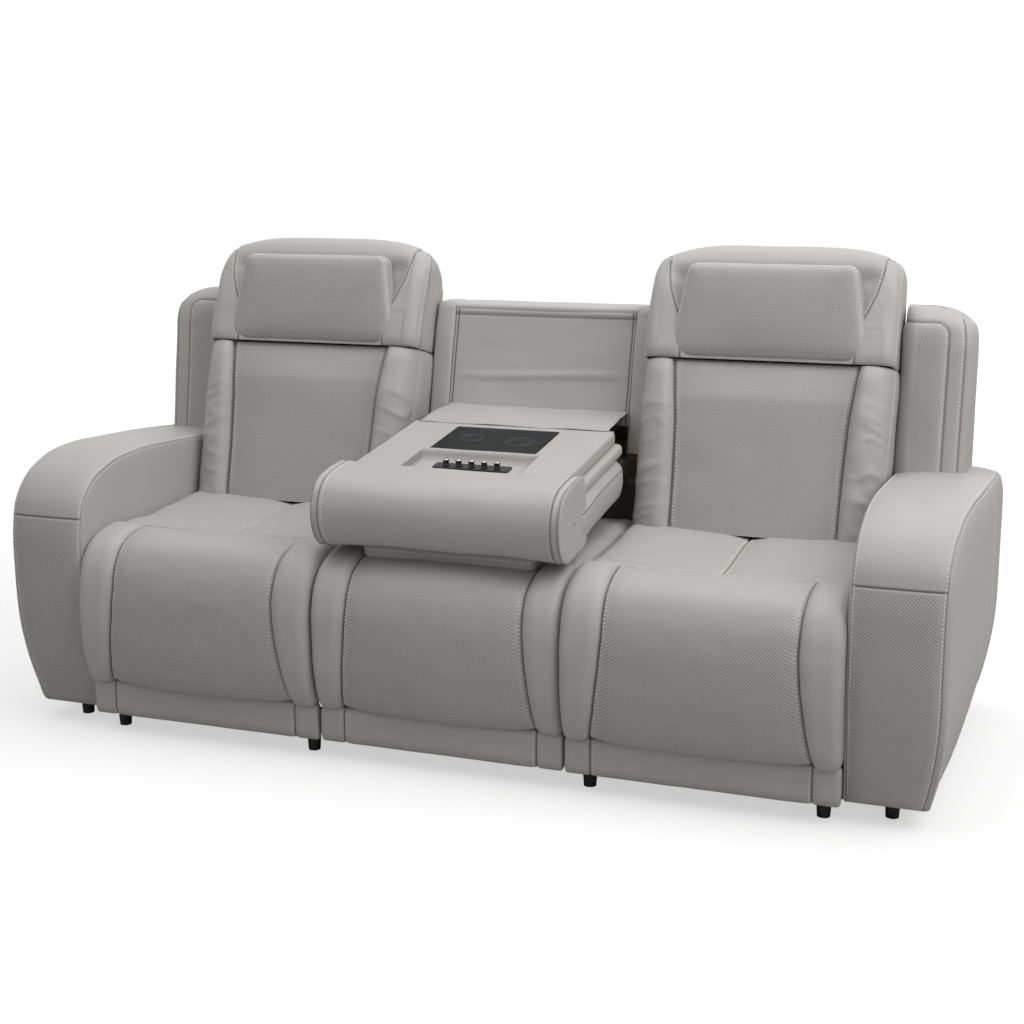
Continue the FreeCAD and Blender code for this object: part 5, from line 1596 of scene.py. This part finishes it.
class SOFA_PG_colours(bpy.types.PropertyGroup):
    leather: colour("Leather", "Colour of the hide", (0.455, 0.446, 0.428))
    # Painted shade: the dark colour that the shade attribute mixes into the hide in seams, stitch rows,
    # edges and gaps.
    seam: colour("Seam", "Colour in the depth of a seam", (0.035, 0.034, 0.032))
    # Painted shade: the dark colour that the punched holes, which are only a bump, are mixed towards.
    hole: colour("Hole", "Colour inside the punched holes", (0.095, 0.093, 0.088))
    thread: colour("Thread", "Colour of the stitches", (0.72, 0.71, 0.68))
    plywood: colour("Plywood", "Colour of the hidden wooden frames", (0.20, 0.135, 0.075))
    webbing: colour("Webbing", "Colour of the seat webbing", (0.10, 0.085, 0.065))
    steel: colour("Steel", "Colour of the mechanism", (0.32, 0.33, 0.34))
    plastic: colour("Plastic", "Colour of feet, motors and knobs", (0.012, 0.012, 0.013))
    cap: colour("Knob cap", "Colour of the knobs' bright caps", (0.75, 0.75, 0.76))
    glass: colour("Glass", "Colour of the charging plate", (0.016, 0.018, 0.020))
    mark: colour("Glass marks", "Colour of the lines on the charging plate", (0.075, 0.08, 0.085))
    floor: colour("Floor", "Colour of the studio floor", (0.50, 0.50, 0.50))


BUILDERS = (SOFA_OT_finishes, SOFA_OT_seats, SOFA_OT_strips, SOFA_OT_arms, SOFA_OT_wings, SOFA_OT_backs,
            SOFA_OT_heads, SOFA_OT_pillows, SOFA_OT_rears, SOFA_OT_centre_back, SOFA_OT_console_top,
            SOFA_OT_console_cushion, SOFA_OT_bolster, SOFA_OT_head_pad, SOFA_OT_glass, SOFA_OT_knobs,
            SOFA_OT_flap, SOFA_OT_stage)


class SOFA_PT_panel(bpy.types.Panel):
    """Lists the sofa's sizes, colours and builders in the sidebar"""
    bl_idname = "SOFA_PT_panel"
    bl_label = "Sofa"
    bl_space_type = "VIEW_3D"
    bl_region_type = "UI"
    bl_category = "Sofa"

    def draw(self, context):
        for group in (context.scene.sofa_sizes, context.scene.sofa_colours):
            for label in group.__annotations__:
                self.layout.prop(group, label)
        for builder in BUILDERS:
            self.layout.operator(builder.bl_idname)


CLASSES = (SOFA_PG_sizes, SOFA_PG_colours, *BUILDERS, SOFA_PT_panel)


def register():
    for made in CLASSES:
        bpy.utils.register_class(made)
    bpy.types.Scene.sofa_sizes = PointerProperty(type=SOFA_PG_sizes)
    bpy.types.Scene.sofa_colours = PointerProperty(type=SOFA_PG_colours)


def unregister():
    del bpy.types.Scene.sofa_colours
    del bpy.types.Scene.sofa_sizes
    for made in reversed(CLASSES):
        bpy.utils.unregister_class(made)


def main():
    register()
    for builder in BUILDERS:
        group, label = builder.bl_idname.split(".")
        getattr(getattr(bpy.ops, group), label)()
    bpy.context.view_layer.update()


if __name__ == "__main__":
    main()
